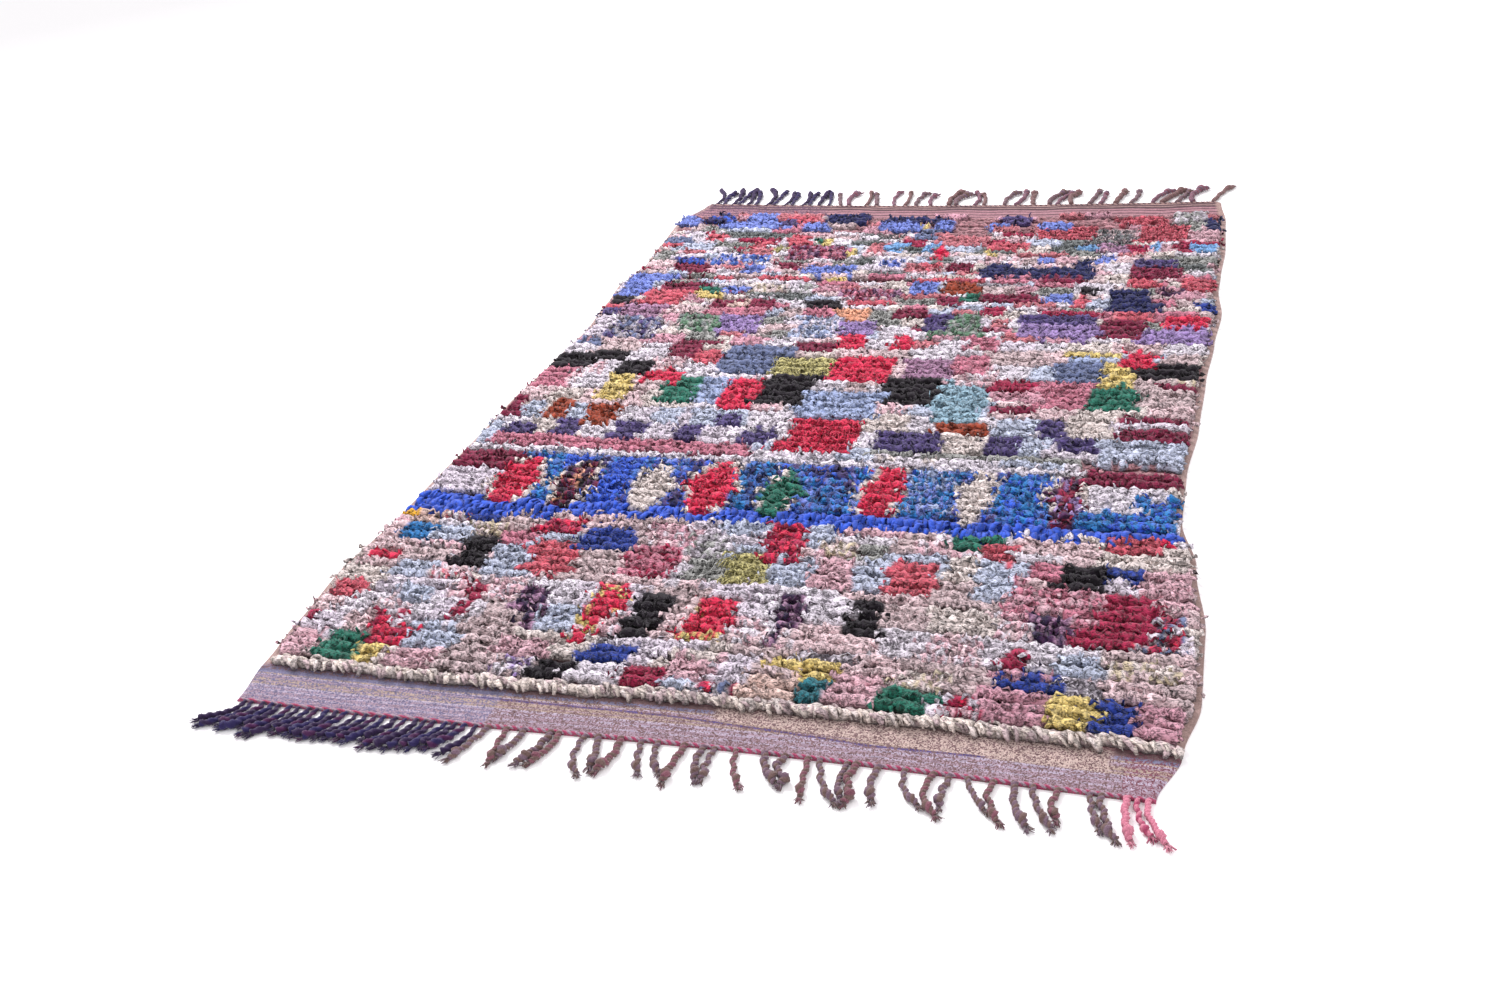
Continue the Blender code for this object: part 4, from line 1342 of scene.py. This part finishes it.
def cord_lines(name, lines, tree, values, colours):
    """One mesh of plied cords along lines, each a list of (point, half width) with its two plies."""
    points, edges, halves, first, second = [], [], [], [], []
    for line, plies in lines:
        start = len(points)
        for point, half in line:
            points.append(Vector(point) + CENTRING)
            halves.append(half)
            first.append(tuple(getattr(colours, plies[0])))
            second.append(tuple(getattr(colours, plies[1])))
        edges += [(start + i, start + i + 1) for i in range(len(line) - 1)]
    mesh = bpy.data.meshes.new(name + "_lines")
    mesh.from_pydata(points, edges, [])
    store(mesh, "half", halves)
    store(mesh, "first_ply", first)
    store(mesh, "second_ply", second)
    holder = stand(name + "_lines", mesh)
    run_nodes(holder, tree, values)
    return plain_mesh(holder, name, values["Material"], keep=("first_ply", "second_ply", "ply"))


def ply_profile():
    """The outline of a cord cut across: two plies side by side, with a waist between them."""
    rim = []
    for number in range(8):
        angle = math.tau * (number + 0.5) / 8
        reach = 1.0 - 0.34 * math.sin(angle) ** 2
        rim.append((math.cos(angle) * reach, math.sin(angle) * reach, 0.0))
    mesh = bpy.data.meshes.new("ply_profile")
    mesh.from_pydata(rim, [(i, (i + 1) % 8) for i in range(8)], [])
    store(mesh, "ply", [0.0 if point[0] > 0 else 1.0 for point in rim])
    return bpy.data.objects.new("ply_profile", mesh)


def smooth_line(route, bushy, stout, rng):
    """A strand's route as a smooth line from inside the cloth, thick at its knot or bushy to its tip."""
    sway, start = rng.uniform(0.0006, 0.0026), rng.uniform(0.0, math.tau)
    points = [Vector((spot.x, spot.y, max(spot.half * 0.85, 0.002))) for spot in route]
    root = points[0] + (points[0] - points[1]) * 0.5
    points = [root] + points + [points[-1] * 2.0 - points[-2]]
    line = []
    for index in range(1, len(points) - 2):
        for step in range(LINE_STEPS):
            t = step / LINE_STEPS
            a, b, c, d = points[index - 1:index + 3]
            point = 0.5 * (2 * b + (c - a) * t + (2 * a - 5 * b + 4 * c - d) * t * t
                           + (3 * b - a - 3 * c + d) * t ** 3)
            line.append(point)
    line.append(points[-2])
    knot = len(line) - LINE_STEPS
    width = route[0].half * rng.uniform(0.86, 1.18)
    sized = []
    for index, point in enumerate(line):
        near = max(0.0, 1.0 - abs(index - knot) / KNOT_REACH)
        point.x += sway * min(1.0, index / LINE_STEPS) * math.sin(start + index * 0.55)
        if bushy:
            half = width * (1.00 + SWELL * min(1.0, index / knot) ** 1.5)
        else:
            half = width * (stout + SWELL * near)
        point.z = half + 0.0002
        sized.append((point, half))
    return sized


def tip_hairs(route, plies, colours, numbers, rng):
    """The loose fibres past a strand's knot."""
    end, before = route[-1], route[-2]
    heading = math.atan2(end.y - before.y, end.x - before.x)
    made = []
    for _ in range(TIP_HAIRS):
        turn = (math.radians(rng.uniform(-8, 4)), 0.0, heading + math.pi / 2 + rng.uniform(-0.6, 0.6))
        spot = Vector((end.x, end.y, rng.uniform(0.002, 0.005))) + CENTRING
        size = rng.uniform(0.4, 0.8)
        made.append(Tuft(spot, turn, (1.7, size, size), rng.choice(numbers["hair"]),
                         rag_tint(rng.choice(plies), colours, rng), 1.0))
    return made


def twining(run):
    """The twined cord that closes the cloth's end, along one run of the warp."""
    edge = front_edge if run.end < 0 else back_edge
    steps = max(4, round((run.stop - run.start) / TWINE_STEP))
    line = []
    for index in range(steps + 1):
        x = run.start + TWINE_INSET + (run.stop - run.start - 2 * TWINE_INSET) * index / steps
        line.append((Vector((x, edge(x) - run.end * TWINE_BACK, TWINE_MIDDLE)), TWINE_HALF))
    return line


def settle(piece, node):
    """Attach a piece to the rug's body, and hide the solid that it stands for."""
    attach(piece, "root")
    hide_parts(node)


def make_pile(context):
    """The pile, in pieces of whole rows."""
    scene = context.scene
    colours = scene.rag_colours
    group, numbers = tuft_shapes(scene.rug_sizes)
    rows = pile_knots(scene.rug_sizes)
    rng = random.Random(scene.rug_sizes.pile_seed + 1)
    material = rag_material()
    made = []
    for index in range(PILE_PIECES):
        part = rows[len(rows) * index // PILE_PIECES:len(rows) * (index + 1) // PILE_PIECES]
        tufts = [tuft for knots in part for tuft in row_tufts(knots, colours, numbers, rng)]
        matted = matted_rows("matted_rows", part, colours, rng)
        made.append(tuft_piece(
            f"rag_pile_{index + 1}", tufts, group, PILE_CRUMPLE_SIZE, scene.rug_sizes.crumple, material,
            matted))
        discard(matted)
    drop_shapes(group)
    return made


class RUG_OT_woven_ground(bpy.types.Operator):
    """Weave the cloth that the rags are knotted into"""

    bl_idname = "rug.woven_ground"
    bl_label = "Woven ground"

    def execute(self, context):
        ground = make_ground(context.scene.rug_sizes, context.scene.rag_colours)
        settle(ground, "rug_body")
        return {"FINISHED"}


class RUG_OT_rag_pile(bpy.types.Operator):
    """Knot the rows of rag pile"""

    bl_idname = "rug.rag_pile"
    bl_label = "Rag pile"

    def execute(self, context):
        for piece in make_pile(context):
            settle(piece, "rug_body")
        return {"FINISHED"}


class RUG_OT_warp_fringes(bpy.types.Operator):
    """Ply and knot the warp ends at both ends of the rug"""

    bl_idname = "rug.warp_fringes"
    bl_label = "Warp fringes"

    def execute(self, context):
        scene = context.scene
        group, numbers = tuft_shapes(scene.rug_sizes)
        profile = ply_profile()
        material = cord_material()
        fibre = fibre_material()
        tree = cord_tree()
        rng = random.Random(CORD_SEED)
        routes = {**fringe_routes(-1), **fringe_routes(1)}
        for run in RUNS:
            bushy = run.name.endswith("aubergine")
            lines = []
            hairs = []
            for number, route in enumerate(routes[run.name]):
                plies = PLIES[run.name][number % len(PLIES[run.name])]
                lines.append((smooth_line(route, bushy, STOUT[run.end], rng), plies))
                hairs += tip_hairs(route, plies, scene.rag_colours, numbers, rng)
            lines.append((twining(run), TWINE_PLIES[run.end]))
            ply_turn = scene.rug_sizes.ply_turn * (2.0 if bushy else 1.0)
            cords = cord_lines(run.name + "_cords", lines, tree, {
                "Step": CORD_STEP, "Ply Turn": ply_turn, "Profile": profile, "Material": material},
                scene.rag_colours)
            settle(cords, run.name)
            fray = tuft_piece(
                run.name + "_fray", hairs, group, FRAY_CRUMPLE_SIZE, FRAY_CRUMPLE_DEPTH, fibre)
            settle(fray, run.name)
        drop_shapes(group)
        discard(profile)
        return {"FINISHED"}


# Half the floor's width, its white, and how far it lies below the rug
FLOOR_HALF = 30.0
FLOOR_WHITE = 0.97
FLOOR_DROP = 0.0002
WORLD_TINT = (1.0, 0.98, 1.0, 1.0)
LIGHT_TINT = (1.0, 0.95, 1.0)
SOFTBOXES = (
    # name, place, size, power in watts
    ("key_softbox", (-2.2, 1.8, 3.4), 1.5, 228.0),
    ("fill_softbox", (2.8, -2.2, 3.4), 2.6, 45.0),
)


class RUG_OT_stage(bpy.types.Operator):
    """Lay a pale floor under soft studio light, and set the camera"""

    bl_idname = "rug.stage"
    bl_label = "Stage"

    def execute(self, context):
        scene = context.scene
        make_floor()
        make_lights(scene)
        make_camera(scene)
        return {"FINISHED"}


def make_floor():
    """A matt white floor, a hair below the rug."""
    mesh = bpy.data.meshes.new("floor")
    half = FLOOR_HALF
    corners = [(-half, -half, 0), (half, -half, 0), (half, half, 0), (-half, half, 0)]
    mesh.from_pydata(corners, [], [(0, 1, 2, 3)])
    material, _, shader = principled("matt_white_floor", 0.9)
    shader.inputs["Base Color"].default_value = (FLOOR_WHITE, FLOOR_WHITE, FLOOR_WHITE, 1.0)
    mesh.materials.append(material)
    floor = stand("floor", mesh)
    floor.location.z = -FLOOR_DROP


def make_lights(scene):
    """A pale world and two softboxes: the key behind the rug to its left, the fill in front to its right."""
    world = bpy.data.worlds.new("studio")
    world.use_nodes = True
    background = world.node_tree.nodes["Background"]
    background.inputs["Color"].default_value = WORLD_TINT
    background.inputs["Strength"].default_value = 1.0
    scene.world = world
    scene.view_settings.view_transform = "Standard"
    for name, where, size, power in SOFTBOXES:
        light = bpy.data.lights.new(name, "AREA")
        light.size = size
        light.energy = power
        light.color = LIGHT_TINT
        lamp = stand(name, light)
        lamp.location = where
        lamp.rotation_euler = (-Vector(where)).to_track_quat("-Z", "Y").to_euler()


def make_camera(scene):
    """The camera at the photograph's angle, from its heading, pitch and roll."""
    heading = Vector((-math.sin(CAMERA_HEADING), math.cos(CAMERA_HEADING), 0.0))
    level = Vector((math.cos(CAMERA_HEADING), math.sin(CAMERA_HEADING), 0.0))
    forward = heading * math.cos(CAMERA_PITCH) - Vector((0.0, 0.0, math.sin(CAMERA_PITCH)))
    upright = heading * math.sin(CAMERA_PITCH) + Vector((0.0, 0.0, math.cos(CAMERA_PITCH)))
    right = level * math.cos(CAMERA_ROLL) + upright * math.sin(CAMERA_ROLL)
    up = upright * math.cos(CAMERA_ROLL) - level * math.sin(CAMERA_ROLL)
    turn = Matrix((right, up, -forward)).transposed()
    data = bpy.data.cameras.new("camera")
    data.sensor_width = SENSOR_WIDTH_MM
    data.lens = CAMERA_LENS_MM
    data.clip_end = 200.0
    camera = stand("camera", data)
    camera.rotation_euler = turn.to_euler()
    camera.location = Vector(CAMERA_PLACE) + CENTRING
    scene.camera = camera


class RUG_PT_panel(bpy.types.Panel):
    """The rug's sizes, rags and pieces"""

    bl_idname = "RUG_PT_panel"
    bl_label = "Boucherouite rug"
    bl_space_type = "VIEW_3D"
    bl_region_type = "UI"
    bl_category = "Rug"

    def draw(self, context):
        layout = self.layout
        for group in (context.scene.rug_sizes, context.scene.rag_colours):
            box = layout.box()
            for name in group.bl_rna.properties.keys():
                if name not in ("rna_type", "name"):
                    box.prop(group, name)
        for operator in OPERATORS:
            layout.operator(operator.bl_idname)


OPERATORS = (RUG_OT_woven_ground, RUG_OT_rag_pile, RUG_OT_warp_fringes, RUG_OT_stage)
CLASSES = (RugSizes, RagColours) + OPERATORS + (RUG_PT_panel,)


def register():
    """Register the properties, the operators and the panel."""
    for each in CLASSES:
        bpy.utils.register_class(each)
    bpy.types.Scene.rug_sizes = PointerProperty(type=RugSizes)
    bpy.types.Scene.rag_colours = PointerProperty(type=RagColours)


def unregister():
    """Take them all away again."""
    del bpy.types.Scene.rag_colours
    del bpy.types.Scene.rug_sizes
    for each in reversed(CLASSES):
        bpy.utils.unregister_class(each)


def main():
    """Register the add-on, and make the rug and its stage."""
    register()
    bpy.ops.rug.woven_ground()
    bpy.ops.rug.rag_pile()
    bpy.ops.rug.warp_fringes()
    bpy.ops.rug.stage()


if __name__ == "__main__":
    main()
